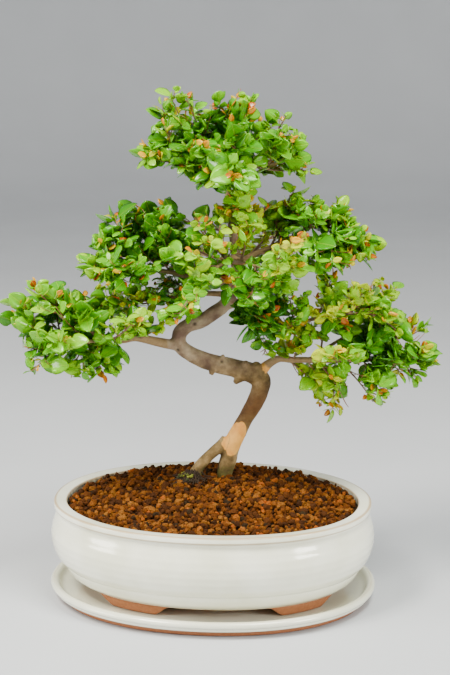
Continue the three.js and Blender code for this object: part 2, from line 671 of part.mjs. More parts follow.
const LOOKS = {
  glaze: material(0xe9ead9, 0.25),
  mesh: material(0x20251f, 0.6),
  soil: material(0x7a3f1a, 0.95),
  bark: material(0x8c7a63, 0.8),
  leaf: material(0x6fae23, 0.4),
};

const bonsai = new THREE.Group();
const wood = makeWood();
bonsai.add(named('drip_tray', makeTray(), LOOKS.glaze));
bonsai.add(named('pot', makePot(), LOOKS.glaze));
DRAIN_PLACES.forEach((x, i) => bonsai.add(named(`drain_mesh_${i + 1}`, makeDrainMesh(x), LOOKS.mesh)));
bonsai.add(named('soil', makeSoil(makeWood(GAP)), LOOKS.soil));
bonsai.add(named('tree', wood, LOOKS.bark));

const foliage = new THREE.Group();
const room = new Room();
room.add('tree', wood);
const sprays = planSprays(wood, room);
planLeaves(sprays, room);
sprays.forEach((spray) => foliage.add(named(spray.name, buildSpray(spray), LOOKS.leaf)));
bonsai.add(foliage);

export default bonsai;
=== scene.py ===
# %% [markdown]
# # An old sweet plum bonsai in an oval glazed pot
#
# A sweet plum that was wired into an S over many years stands in an oval pot on its drip tray. The packed
# model gives the true sizes of pot, tray, soil, wood and fifty-four leafy sprays. It could be dressed with
# sculpted meshes or scattered copies. This lesson works each piece out with numpy instead, as a surface on a
# grid in millimetres, because then every form is a formula that can be read and changed.

import bpy
import numpy as np
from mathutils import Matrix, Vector


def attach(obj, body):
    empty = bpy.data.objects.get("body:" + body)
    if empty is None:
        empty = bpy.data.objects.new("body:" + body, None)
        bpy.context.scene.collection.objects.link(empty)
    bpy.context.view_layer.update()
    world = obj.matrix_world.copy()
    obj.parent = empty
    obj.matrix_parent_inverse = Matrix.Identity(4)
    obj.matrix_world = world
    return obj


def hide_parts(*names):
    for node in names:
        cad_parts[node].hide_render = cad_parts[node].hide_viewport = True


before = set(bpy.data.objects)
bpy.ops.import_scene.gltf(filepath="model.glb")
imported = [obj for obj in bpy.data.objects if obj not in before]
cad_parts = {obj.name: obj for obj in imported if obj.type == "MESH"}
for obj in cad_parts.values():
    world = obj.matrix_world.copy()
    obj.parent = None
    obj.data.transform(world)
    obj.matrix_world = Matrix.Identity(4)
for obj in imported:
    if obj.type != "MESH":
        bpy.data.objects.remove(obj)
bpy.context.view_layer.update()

# %% [markdown]
# ## Numbers that look random but are not
#
# A tree grows a little differently at each bud, but the lesson has to give the same tree on each run. A
# generator with a fixed seed gives the single draws. A hash gives the noise: it turns whole numbers into a
# number from 0 to 1, so the noise at a place doesn't depend on the order in which places are asked for.

# %% Draws and smooth noise
draws = np.random.default_rng(1880)


def chance(first, second, third):
    """The part after the point of 4375.85 times the sine of a weighted sum of three keys."""
    wave = np.sin(first * 127.1 + second * 311.7 + third * 74.7) * 4375.85
    return wave - np.floor(wave)


def smooth_noise(points, size, seed):
    """Random numbers at corners of cubes of side `size`, blended by 3t² - 2t³ along each edge; -1 to 1."""
    cell = points / size
    low = np.floor(cell)
    blend = (cell - low) ** 2 * (3 - 2 * (cell - low))
    total = np.zeros(points.shape[:-1])
    for corner in np.ndindex(2, 2, 2):
        weight = np.where(corner, blend, 1 - blend).prod(-1)
        key = low + corner
        total += weight * chance(key[..., 0] + 19 * seed, key[..., 1], key[..., 2])
    return 2 * total - 1


print("first draws:", np.round(chance(np.arange(3), 1, 2), 3))

# %% [markdown]
# ## From arrays to a mesh
#
# A surface on a grid has rows and columns of points, and its faces join each point to its neighbours. Bowl,
# saucer, limbs and leaves are all closed tubes of that kind, with a fan of triangles at each end. So one
# function numbers the faces of a tube, one repeats them for many copies, and one more hands points and faces
# to Blender in bulk, which is far quicker than adding them one by one.

# %% Faces of grids, fans and closed tubes
def turns(sides):
    """Angles of even steps round a circle: 2·pi·k / sides."""
    return np.arange(sides) * 2 * np.pi / sides


def grid_faces(rows, columns):
    """Four-cornered faces between neighbours of a grid that is numbered row by row and closed on itself."""
    here = np.arange(rows - 1)[:, None] * columns
    column = np.arange(columns)[None, :]
    after = (column + 1) % columns
    corners = [here + column, here + after, here + columns + after, here + columns + column]
    return np.stack(corners, -1).reshape(-1, 4)


def fan_faces(ring, centre):
    """Triangles from each edge of a ring of point numbers to one centre point."""
    return np.stack([ring, np.roll(ring, -1), np.full_like(ring, centre)], -1)


def tube_faces(rows, around):
    """A closed tube: faces between its rings, and a fan at each end to the two poles, which come last."""
    ring = np.arange(around)
    start = fan_faces(ring[::-1], rows * around)
    end = fan_faces(ring + (rows - 1) * around, rows * around + 1)
    return [grid_faces(rows, around), np.concatenate([start, end])]


def repeat_faces(faces, corners, copies):
    """The same faces for many copies in a row, each of which has `corners` points of its own."""
    return (faces + corners * np.arange(copies)[:, None, None]).reshape(-1, faces.shape[1])


print("faces of a tube of 3 rings of 4:", [len(found) for found in tube_faces(3, 4)])

# %% Meshes, objects and finished pieces
MM = 0.001


def fill_mesh(mesh, points, face_sets, smooth=True):
    """Puts points in millimetres and sets of faces into a mesh, in a few bulk calls."""
    sizes = np.concatenate([np.full(len(faces), faces.shape[1]) for faces in face_sets])
    corners = np.concatenate([faces.ravel() for faces in face_sets])
    mesh.vertices.add(len(points))
    mesh.vertices.foreach_set("co", (points * MM).astype(np.float32).ravel())
    mesh.loops.add(len(corners))
    mesh.loops.foreach_set("vertex_index", corners.astype(np.int32))
    mesh.polygons.add(len(sizes))
    mesh.polygons.foreach_set("loop_start", (np.cumsum(sizes) - sizes).astype(np.int32))
    mesh.polygons.foreach_set("use_smooth", np.full(len(sizes), smooth))
    mesh.update(calc_edges=True)
    mesh.validate()


def add_object(name, data):
    """An object at the origin that shows a mesh, a lamp or a lens."""
    made = bpy.data.objects.new(name, data)
    bpy.context.scene.collection.objects.link(made)
    return made


def make_piece(name, points, face_sets, finish, slot, nodes, smooth=True, **attributes):
    """A finished piece: its mesh, its numbers per point, its material, and the nodes that it stands for."""
    mesh = bpy.data.meshes.new(name)
    fill_mesh(mesh, points, face_sets, smooth)
    for key, values in attributes.items():
        mesh.attributes.new(key, "FLOAT", "POINT").data.foreach_set("value", values.astype(np.float32))
    mesh.materials.append(finish)
    piece = add_object(name, mesh)
    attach(piece, "root")
    if nodes:
        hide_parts(*nodes)
    triangles = sum(len(faces) * (faces.shape[1] - 2) for faces in face_sets)
    print(f"{name}: {len(points)} points, {triangles} triangles")


# %% [markdown]
# ## Shader maths as plain sums
#
# A shader is a net of nodes, and the net of a glaze or a leaf holds dozens. They could be added and joined
# line by line, but then the sum that they work out is hard to see. The class below wraps one socket, so that
# `1 - mask * 0.5` adds the Math nodes that work it out, and its method `node` adds a node of any other type.

# %% A socket that can be added and multiplied
class Wire:
    """One socket of a shader, with Python's operators on it."""

    def __init__(self, tree, socket=None):
        self.tree = tree
        self.socket = socket

    def node(self, kind, settings=None, inputs=None, output=0):
        """Adds a node: its settings first, then values or wires by the input's name or number."""
        new = self.tree.nodes.new("ShaderNode" + kind)
        for key, value in (settings or {}).items():
            if key == "stops":
                self.set_stops(new.color_ramp, value)
            else:
                setattr(new, key, value)
        for key, value in (inputs or {}).items():
            if isinstance(value, Wire):
                self.tree.links.new(value.socket, new.inputs[key])
            else:
                new.inputs[key].default_value = value
        return Wire(self.tree, new.outputs[output])

    @staticmethod
    def set_stops(ramp, stops):
        """Gives a colour ramp one element for each pair of place and colour."""
        while len(ramp.elements) < len(stops):
            ramp.elements.new(0.5)
        for element, (place, color) in zip(ramp.elements, stops):
            element.position = place
            element.color = color

    def math(self, operation, first, second=0.0):
        """Adds a Math node that works on one or two values."""
        return self.node("Math", {"operation": operation}, {0: first, 1: second})

    def __add__(self, other):
        return self.math("ADD", self, other)

    def __sub__(self, other):
        return self.math("SUBTRACT", self, other)

    def __rsub__(self, other):
        return self.math("SUBTRACT", other, self)

    def __mul__(self, other):
        return self.math("MULTIPLY", self, other)

    def __abs__(self):
        return self.math("ABSOLUTE", self)

    __radd__ = __add__
    __rmul__ = __mul__

    def step(self, low, high):
        """0 below `low`, 1 above `high` and smooth between."""
        settings = {"interpolation_type": "SMOOTHSTEP"}
        return self.node("MapRange", settings, {0: self, 1: low, 2: high})

    def blend(self, first, second):
        """A colour that goes from the first to the second as this wire goes from 0 to 1."""
        # A Mix node has sockets for each type of value: 6, 7 and output 2 are those for colours
        return self.node("Mix", {"data_type": "RGBA"}, {0: self, 6: first, 7: second}, 2)

    def ramp(self, stops):
        """A colour read from a ramp of pairs of place and colour."""
        return self.node("ValToRGB", {"stops": stops}, {0: self})


print("a wire has", [name for name in vars(Wire) if name[0] != "_"])

# %% [markdown]
# ## Colours, places and relief
#
# Colours are picked as a screen shows them and turned to linear light once. A pattern could follow a map that
# is unwrapped onto the piece, but such a map has seams. Noise in space has none, so every pattern here reads
# the place on the piece, and a bump gives it a depth in metres.

# %% Colours, patterns and sockets
def paint(red, green, blue):
    """A colour as a screen shows it, 0 to 255, turned to the linear light that shaders add up."""
    shown = np.array([red, green, blue]) / 255
    light = np.where(shown <= 0.04045, shown / 12.92, ((shown + 0.055) / 1.055) ** 2.4)
    return (*light.tolist(), 1.0)


def new_finish(name):
    """A new material, and the wire of the place on the piece in metres, which its patterns follow."""
    material = bpy.data.materials.new(name)
    material.use_nodes = True
    return material, Wire(material.node_tree).node("TexCoord", output="Object")


def noise_at(place, scale, detail=2.0, rough=0.5):
    """Blender's noise, 0 to 1, `scale` lumps to the metre."""
    inputs = {"Vector": place, "Scale": scale, "Detail": detail, "Roughness": rough}
    return place.node("TexNoise", None, inputs)


def shared(place, name):
    """The wire of a number that the mesh carries at each point."""
    return place.node("Attribute", {"attribute_name": name}, output="Fac")


def relief(height, depth):
    """A bump of `depth` metres from a wire of heights."""
    return height.node("Bump", None, {"Height": height, "Distance": depth, "Strength": 1.0})


def set_finish(material, **sockets):
    """Puts values or wires on the sockets of the material's shader."""
    shader = material.node_tree.nodes["Principled BSDF"]
    for name, value in sockets.items():
        socket = shader.inputs[name.replace("_", " ")]
        if isinstance(value, Wire):
            material.node_tree.links.new(value.socket, socket)
        else:
            socket.default_value = value


print("middle grey in linear light:", round(paint(128, 128, 128)[0], 3))

# %% [markdown]
# ## Cream glaze and bare clay
#
# The pot is white stoneware glaze over red clay. Glaze runs off sharp edges as it melts, so a brown line
# shows on the rim and the lip, and the feet and the tray's foot band are left bare. An edge could be found
# from the surface's bend, but a bend can't tell bare clay from a thin glaze. So the mesh carries two numbers:
# `thin` is 1 on such edges and `bare` is 1 where there is no glaze. `thin` is also raised in the hollow
# creases under the lip and above the bowl's foot band, and in the groove under the tray's rim, where the
# same brown is painted shade.

# %% Glaze
CLAY_DARK, CLAY_LIGHT = paint(126, 74, 42), paint(178, 112, 70)
EDGE_BROWN_AND_CREASE_SHADE, SPECK_TAN = paint(168, 132, 82), paint(186, 164, 128)


def make_glaze(name, light, shade):
    """Clouds from light to shade, specks, brown on thin edges and as painted crease shade, and clay where
    bare.
    """
    material, place = new_finish(name)
    thin, bare = shared(place, "thin"), shared(place, "bare")
    cloud = noise_at(place, 22.0, 3.0)
    fine = noise_at(place, 420.0, 3.0, 0.6)
    edge = (thin + (cloud - 0.5) * 0.5).step(0.3, 0.9)
    glazed = cloud.step(0.3, 0.75).blend(light, shade)
    glazed = (fine.step(0.70, 0.76) * 0.25).blend(glazed, SPECK_TAN)
    # Brown where the glaze is thin on edges, and painted shade where thin is raised in creases and grooves
    glazed = (edge * 0.75).blend(glazed, EDGE_BROWN_AND_CREASE_SHADE)
    rough = bare.step(0.3, 0.6)
    set_finish(
        material,
        Base_Color=rough.blend(glazed, fine.blend(CLAY_DARK, CLAY_LIGHT)),
        Roughness=0.14 + cloud * 0.08 + edge * 0.16 + rough * 0.6,
        Coat_Weight=(1 - rough) * 0.7,
        Coat_Roughness=0.12,
        Normal=relief(cloud * 0.6 + fine * (0.02 + rough * 0.25), 0.0009),
    )
    return material


pot_glaze = make_glaze("cream_glaze", paint(246, 246, 228), paint(230, 230, 204))
tray_glaze = make_glaze("tray_cream_glaze", paint(230, 230, 212), paint(220, 220, 198))
print("glazes:", pot_glaze.name, tray_glaze.name)

# %% [markdown]
# ## The oval
#
# Pot and tray are thrown round and pressed to an oval. A round profile that is scaled to an ellipse would
# give a rim that is wider at its ends. So every level is an oval of its own, inset by the same distance all
# round, and the profile is carried round these ovals.

# %% Evenly inset ovals
POT_HALF_LENGTH, POT_HALF_WIDTH, OVAL_POWER = 140.0, 108.5, 2.1


def oval(reach, turn, height):
    """A rounded-out ellipse: the radius is (|cos|^p + |sin|^p)^(-1/p), stretched to reach and half width."""
    half_width = np.maximum(reach - POT_HALF_LENGTH + POT_HALF_WIDTH, reach / 2)
    c, s = np.cos(turn), np.sin(turn)
    stretch = (np.abs(c) ** OVAL_POWER + np.abs(s) ** OVAL_POWER) ** (-1 / OVAL_POWER)
    return np.stack(np.broadcast_arrays(reach * stretch * c, half_width * stretch * s, height), -1)


def soften(profile, times):
    """Cuts each corner of an open profile at a quarter and three quarters, again and again."""
    for _ in range(times):
        near = 0.75 * profile[:-1] + 0.25 * profile[1:]
        far = 0.25 * profile[:-1] + 0.75 * profile[1:]
        cut = np.stack([near, far], 1).reshape(-1, profile.shape[1])
        profile = np.concatenate([profile[:1], cut, profile[-1:]])
    return profile


def turn_oval(profile, around):
    """A profile of reach, height, thin and bare, carried round the oval; its ends meet in two poles."""
    inner = profile[1:-1]
    rings = oval(inner[:, 0, None], turns(around), inner[:, 1, None])
    poles = np.array([[0, 0, profile[0, 1]], [0, 0, profile[-1, 1]]])
    points = np.concatenate([rings.reshape(-1, 3), poles])
    carried = [np.append(np.repeat(inner[:, k], around), profile[[0, -1], k]) for k in (2, 3)]
    return points, tube_faces(len(inner), around), carried


print("the oval's box in mm:", 2 * POT_HALF_LENGTH, "by", 2 * POT_HALF_WIDTH)

# %% [markdown]
# ## The pot
#
# The bowl swells over a narrow foot band, draws in under the lip, and ends in a flat rim that slopes
# inwards a little. It could be modelled from a box with loops and a subdivision modifier. A profile is
# nearer to how it was thrown: it runs from the middle of the underside round to the middle of the inside,
# and a ripple of a tenth of a millimetre on the belly is left from the potter's fingers.

# %% Throw the pot
# Reach, height, thin and bare, from the underside's middle to the inside's middle. Thin marks thin glaze on
# edges, and painted shade in the hollow creases
POT_PROFILE = np.array([
    [0, 16.5, 0, 1], [60, 16.5, 0, 1], [108, 16.5, 0, 1], [115.8, 16.5, 0, 1], [117.6, 16.8, 0.4, 0.8],
    [118.8, 17.8, 0.6, 0], [121.4, 19.4, 0.1, 0], [125.2, 22.4, 0, 0], [127.9, 26.4, 0, 0],
    # In the hollow crease where the belly meets the foot band, thin of 0.1 and 0.45 gives painted shade
    [129.3, 30, 0, 0], [129.5, 31.4, 0.1, 0], [130.3, 32.2, 0.45, 0], [132.4, 33.8, 0, 0],
    [135.4, 37.6, 0, 0], [137.8, 42.6, 0, 0], [139.5, 48.6, 0, 0], [140.3, 55, 0, 0], [140, 60, 0, 0],
    # In the hollow under the lip, thin of 0.35 and 0.75 gives painted shade; the 1 on the lip's lower edge is
    # thin glaze
    [138.6, 66, 0, 0], [136.2, 72.4, 0, 0], [134.9, 76.5, 0, 0], [134.6, 78.6, 0.35, 0],
    [135.2, 79.8, 0.75, 0], [136.9, 80.2, 1, 0], [137.4, 80.8, 0.9, 0], [137.5, 82.4, 0, 0],
    [137.4, 84.3, 0.3, 0], [137, 85.3, 0.9, 0], [136, 85.7, 1, 0], [134.6, 85.7, 0.3, 0],
    [131, 85.3, 0, 0], [127.6, 84.9, 0.1, 0], [126.6, 84.7, 0.9, 0], [126.1, 84.2, 1, 0],
    [126, 83, 0.6, 0], [126.4, 80, 0, 0], [127, 76, 0, 0], [130, 58, 0, 0], [125, 38, 0, 0],
    [108, 25, 0, 1], [60, 25, 0, 1], [0, 25, 0, 1],
])
AROUND, CORNER_CUTS = 144, 2
THROWING_STEP, THROWING_DEPTH = 6.3, 0.11
BELLY_LOW, BELLY_HIGH, BELLY_FADE, BELLY_REACH = 32, 76, 6, 131
RIM_LEVEL, RIM_WAVE, RIM_WAVE_SIZE = 70, 0.25, 46.0
pot_line = soften(POT_PROFILE, CORNER_CUTS)
up_belly = np.clip((pot_line[:, 1] - BELLY_LOW) / BELLY_FADE, 0, 1)
belly = up_belly * np.clip((BELLY_HIGH - pot_line[:, 1]) / BELLY_FADE, 0, 1) * (pot_line[:, 0] > BELLY_REACH)
pot_line[:, 0] += THROWING_DEPTH * belly * np.sin(pot_line[:, 1] * 2 * np.pi / THROWING_STEP)
points, faces, (thin, bare) = turn_oval(pot_line, AROUND)
points[:, 2] += RIM_WAVE * smooth_noise(points, RIM_WAVE_SIZE, 3) * (points[:, 2] > RIM_LEVEL)
make_piece("bowl", points, faces, pot_glaze, "pot_glaze", ["pot"], thin=thin, bare=bare)

# %% [markdown]
# ## The feet
#
# Four bracket feet of bare clay carry the pot. They could be cut from a ring with four gaps, but a cut gives
# square ends. Each is a bent bar instead: its ends sweep up in an S to the pot's underside, and its section
# is a box with rounded corners that leans in towards the ground.

# %% Press the feet
FOOT_TURNS, FOOT_REACH, FOOT_DEPTH, FOOT_HALF_SPREAD = (59, 137, 239, 317), 117.4, 15.0, 18.5
FOOT_TAPER, FOOT_FLAT_SHARE, FOOT_END_DROP = 3.4, 0.57, 1.2
FOOT_BOTTOM, FOOT_TOP = 6.8, 17.2
FOOT_ROWS, FOOT_SIDES, BOX_POWER = 41, 24, 6
along = np.linspace(-1, 1, FOOT_ROWS)[:, None]
section = turns(FOOT_SIDES)
corner = (np.abs(np.cos(section)) ** BOX_POWER + np.abs(np.sin(section)) ** BOX_POWER) ** (-1 / BOX_POWER)
across, upward = corner * np.cos(section), corner * np.sin(section)
sweep = np.clip((np.abs(along) - FOOT_FLAT_SHARE) / (1 - FOOT_FLAT_SHARE), 0, 1)
floor_line = FOOT_BOTTOM + (FOOT_TOP - FOOT_END_DROP - FOOT_BOTTOM) * sweep**2 * (3 - 2 * sweep)
height = (FOOT_TOP + floor_line) / 2 + upward * (FOOT_TOP - floor_line) / 2
lowness = (FOOT_TOP - height) / (FOOT_TOP - FOOT_BOTTOM)
reach = FOOT_REACH - FOOT_DEPTH / 2 + across * (FOOT_DEPTH / 2 - 0.4 * sweep) - FOOT_TAPER * lowness
foot_points = []
for turn in FOOT_TURNS:
    rings = oval(reach, np.radians(turn + along * FOOT_HALF_SPREAD), height)
    foot_points += [rings.reshape(-1, 3), rings[[0, -1]].mean(1)]
points = np.concatenate(foot_points)
per_foot = len(points) // len(FOOT_TURNS)
# The bars run the other way round than a tube that is turned on its axis, so their faces are reversed
faces = [
    repeat_faces(found[:, ::-1], per_foot, len(FOOT_TURNS)) for found in tube_faces(FOOT_ROWS, FOOT_SIDES)
]
all_clay = np.ones(len(points))
make_piece("feet", points, faces, pot_glaze, "pot_glaze", [], thin=0 * all_clay, bare=all_clay)

# %% [markdown]
# ## The drip tray
#
# A shallow oval saucer catches the water. It has the same glaze, a bare foot band, a groove under the rolled
# rim, and a wall that runs down to a flat floor. The groove is marked thin, so its brown is painted shade.
# It is made as the bowl is, so that the two ovals agree.

# %% Throw the tray
TRAY_PROFILE = np.array([
    [0, 0, 0, 1], [70, 0, 0, 1], [126, 0, 0, 1], [131.4, 0.1, 0, 1], [132.6, 0.8, 0, 1], [133.6, 3.2, 0, 1],
    # The groove under the rolled rim gets thin 0.1 to 0.5 at 7.2 to 9.4 mm: painted shade. The foot band's
    # edge before it is thin glaze
    [134.2, 4.4, 0.4, 0.7], [135.6, 5, 0.6, 0], [138, 6, 0, 0], [138.9, 7.2, 0.1, 0], [139, 8.6, 0.5, 0],
    [139.8, 9.4, 0.5, 0], [141, 9.9, 0, 0], [141.6, 11.2, 0, 0], [141.3, 13, 0, 0], [139.8, 14.4, 0.4, 0],
    [138, 14.7, 0.5, 0], [136.2, 14.3, 0.1, 0], [134.6, 12.8, 0, 0], [133, 9.6, 0, 0], [130.6, 7.2, 0, 0],
    [126, 6.5, 0, 0], [70, 6.5, 0, 0], [0, 6.5, 0, 0],
])
points, faces, (thin, bare) = turn_oval(soften(TRAY_PROFILE, CORNER_CUTS), AROUND)
make_piece("saucer", points, faces, tray_glaze, "tray_glaze", ["drip_tray"], thin=thin, bare=bare)

# %% [markdown]
# ## The soil's bed
#
# The soil is domed up to the trunk, highest a little behind the pot's middle. The pot could be filled with
# grains down to its floor, but nobody would see them. Only the top is grains, and a closed bed lies under
# them: a filled body whose top is a few millimetres lower. It takes the grit's darkest colours, as painted
# shade in any gap between grains.

# %% Shape the bed
SOIL_EDGE, SOIL_RISE, SOIL_TOP_X, SOIL_TOP_Y, SOIL_REACH = 82.0, 16.0, 2.0, 20.0, 125.6
BED_AROUND, BED_RINGS, BED_DROP = 96, 24, 3.2
BED_WALL = np.array([[112.0, 26.0], [124.0, 40.0], [128.0, 60.0]])


def soil_height(x, y):
    """Half a cosine wave from the pot's wall up to the dome's top, sharpened by a power of 0.8."""
    out = np.hypot((x - SOIL_TOP_X) / POT_HALF_LENGTH, (y - SOIL_TOP_Y) / POT_HALF_WIDTH)
    fall = np.minimum(1, out / 0.95)
    return SOIL_EDGE + SOIL_RISE * (0.5 + 0.5 * np.cos(np.pi * fall)) ** 0.8


top = oval(SOIL_REACH, turns(BED_AROUND), 0.0) * np.linspace(1, 0.02, BED_RINGS)[:, None, None]
top[..., 2] = soil_height(top[..., 0], top[..., 1]) - BED_DROP
wall = oval(BED_WALL[:, :1], turns(BED_AROUND), BED_WALL[:, 1:])
poles = [[0, 0, BED_WALL[0, 1]], [0, 0, soil_height(0.0, 0.0) - BED_DROP]]
bed = np.concatenate([wall.reshape(-1, 3), top.reshape(-1, 3), poles])
bed_faces = tube_faces(len(BED_WALL) + BED_RINGS, BED_AROUND)
print("the dome's top is at", round(float(soil_height(SOIL_TOP_X, SOIL_TOP_Y)), 1), "mm")

# %% [markdown]
# ## The grains
#
# Fired clay and lava come as grains of 3 to 7 mm with broken faces. A particle system could scatter them, but
# it lets them run into each other. Here a net of even triangles is shaken a little, so the grains lie close
# and still look poured: one in each cell, and some more on top.

# %% Scatter the grains
GRAIN_SPACING, ROW_STEP, SHAKE, LEVEL_SHAKE = 4.4, 0.866, 1.2, 1.1
LEAST_HALF, MORE_HALF, SMALL_POWER = 1.7, 2.3, 1.8
UPPER_SHARE, UPPER_LIFT, UPPER_SIZE = 0.34, 2.6, 0.85
WALL_GAP_LONG, WALL_GAP_WIDE = 2, 33.5
rows, columns = np.mgrid[-34:35, -32:33]
net_x = (columns + 0.5 * (rows % 2)) * GRAIN_SPACING + SHAKE * (2 * chance(rows, columns, 1) - 1)
net_y = rows * GRAIN_SPACING * ROW_STEP + SHAKE * (2 * chance(rows, columns, 2) - 1)
size = LEAST_HALF + MORE_HALF * chance(rows, columns, 3) ** SMALL_POWER
level = LEVEL_SHAKE * (2 * chance(rows, columns, 4) - 1)
extra = chance(rows, columns, 5) < UPPER_SHARE
net_x = np.concatenate([net_x.ravel(), net_x[extra] + GRAIN_SPACING * 0.5])
net_y = np.concatenate([net_y.ravel(), net_y[extra] + GRAIN_SPACING * 0.3])
size = np.concatenate([size.ravel(), size[extra][::-1] * UPPER_SIZE])
level = np.concatenate([level.ravel(), level[extra] + UPPER_LIFT])
out = np.hypot(net_x / (SOIL_REACH - WALL_GAP_LONG), net_y / (SOIL_REACH - WALL_GAP_WIDE))
inside = out**OVAL_POWER < 0.985
net_x, net_y, size, level = net_x[inside], net_y[inside], size[inside], level[inside]
grain_count = len(net_x)
print(grain_count, "grains")

# %% [markdown]
# ## One broken grain, many times
#
# A copied stone would show as a copy, and a ball of a thousand faces would make the mesh too heavy. A ball
# of 24 faces is enough, because a broken grain has about that many. Its corners are pushed in and out, it is
# stretched a little along each axis and turned any way up, so that no two grains are alike.

# %% Break and turn the grains
def unit(vectors):
    """Vectors at length 1."""
    return vectors / np.linalg.norm(vectors, axis=-1, keepdims=True)


def cube_ball():
    """The 26 corners and 24 faces of a cube parted in two each way, pushed out to a ball."""
    steps = np.array(np.meshgrid([-1, 0, 1], [-1, 0, 1], [-1, 0, 1], indexing="ij")).reshape(3, -1).T
    knots = steps[np.abs(steps).max(1) > 0]
    number = {tuple(knot): k for k, knot in enumerate(knots.tolist())}
    quads = []
    for axis, side, u, v in np.ndindex(3, 2, 2, 2):
        square = [(u - 1, v - 1), (u, v - 1), (u, v), (u - 1, v)][:: 2 * side - 1]
        quads.append([number[tuple(np.insert(pair, axis, 2 * side - 1).tolist())] for pair in square])
    quads = np.array(quads)
    # The faces of the middle axis come out turned inwards
    quads[8:16] = quads[8:16, ::-1]
    return unit(knots), quads


def random_turns(number):
    """Turning matrices from random unit quaternions, all ways up alike."""
    quaternions = draws.normal(size=(4, number))
    w, x, y, z = quaternions / np.linalg.norm(quaternions, axis=0)
    matrix = [
        [1 - 2 * (y * y + z * z), 2 * (x * y - z * w), 2 * (x * z + y * w)],
        [2 * (x * y + z * w), 1 - 2 * (x * x + z * z), 2 * (y * z - x * w)],
        [2 * (x * z - y * w), 2 * (y * z + x * w), 1 - 2 * (x * x + y * y)],
    ]
    return np.moveaxis(np.array(matrix), 2, 0)


GRAIN_SINK, DARK_SHARE = 1.8, 0.05
ball, ball_faces = cube_ball()
lumps = ball * draws.uniform(0.68, 1.14, (grain_count, len(ball), 1))
lumps = lumps * draws.uniform(0.76, 1.22, (grain_count, 1, 3))
lumps = np.einsum("nij,nkj->nki", random_turns(grain_count), lumps) * size[:, None, None]
centres = np.stack([net_x, net_y, soil_height(net_x, net_y) - GRAIN_SINK + level], -1)
grains = (lumps + centres[:, None]).reshape(-1, 3)
grain_faces = repeat_faces(ball_faces, len(ball), grain_count) + len(bed)
dark = draws.uniform(size=grain_count) < DARK_SHARE
grain_tone = np.where(dark, 0.0, draws.uniform(0.16, 1, grain_count))
print("mean size of a grain in mm:", round(float(2 * size.mean()), 2))

# %% [markdown]
# ## Grit colour
#
# The mix is ochre and rust-brown clay, some tan grains and a few black lava ones. Each grain is one colour
# with stains and pores. Eight materials could be dealt out, but one number per grain and a ramp do the same
# in a single material, and flat faces with pores make the broken look. The pores are the bump's low places,
# and they are darkened there as painted shade.

# %% Grit finish
grit, place = new_finish("broken_clay_and_lava")
pores = noise_at(place, 900.0, 3.0, 0.7)
stain = noise_at(place, 90.0, 2.0)
body = (shared(place, "tone") * 0.8 + stain * 0.25 - 0.02).ramp([
    (0.0, paint(28, 24, 14)), (0.12, paint(46, 34, 16)), (0.25, paint(54, 28, 6)), (0.45, paint(84, 44, 6)),
    (0.66, paint(113, 60, 8)), (0.85, paint(138, 86, 28)), (0.93, paint(166, 78, 14)),
    (1.0, paint(166, 122, 56)),
])
# Painted shade: the pores are the bump's low places, and they are darkened
pore_shade = pores.step(0.62, 0.4)
set_finish(
    grit,
    Base_Color=(pore_shade * 0.4).blend(body, paint(44, 22, 8)),
    Roughness=0.88,
    Specular_IOR_Level=0.15,
    Normal=relief(pores, 0.0012),
)
make_piece(
    "grit_dressing", np.concatenate([bed, grains]), bed_faces + [grain_faces], grit, "grit", ["soil"],
    # The bed gets tone 0, the grit's darkest colours: painted shade in the gaps between grains
    smooth=False, tone=np.append(np.zeros(len(bed)), np.repeat(grain_tone, len(ball))),
)

# %% [markdown]
# ## The wood
#
# The trunk was bent into an S and stands on two legs, of which the second leaves it low down. Such wood could
# be sculpted by hand. Here each limb is a list of points with a radius, because those can be put right one
# at a time, and a smooth line runs through them. Stubs are left where branches were cut back.

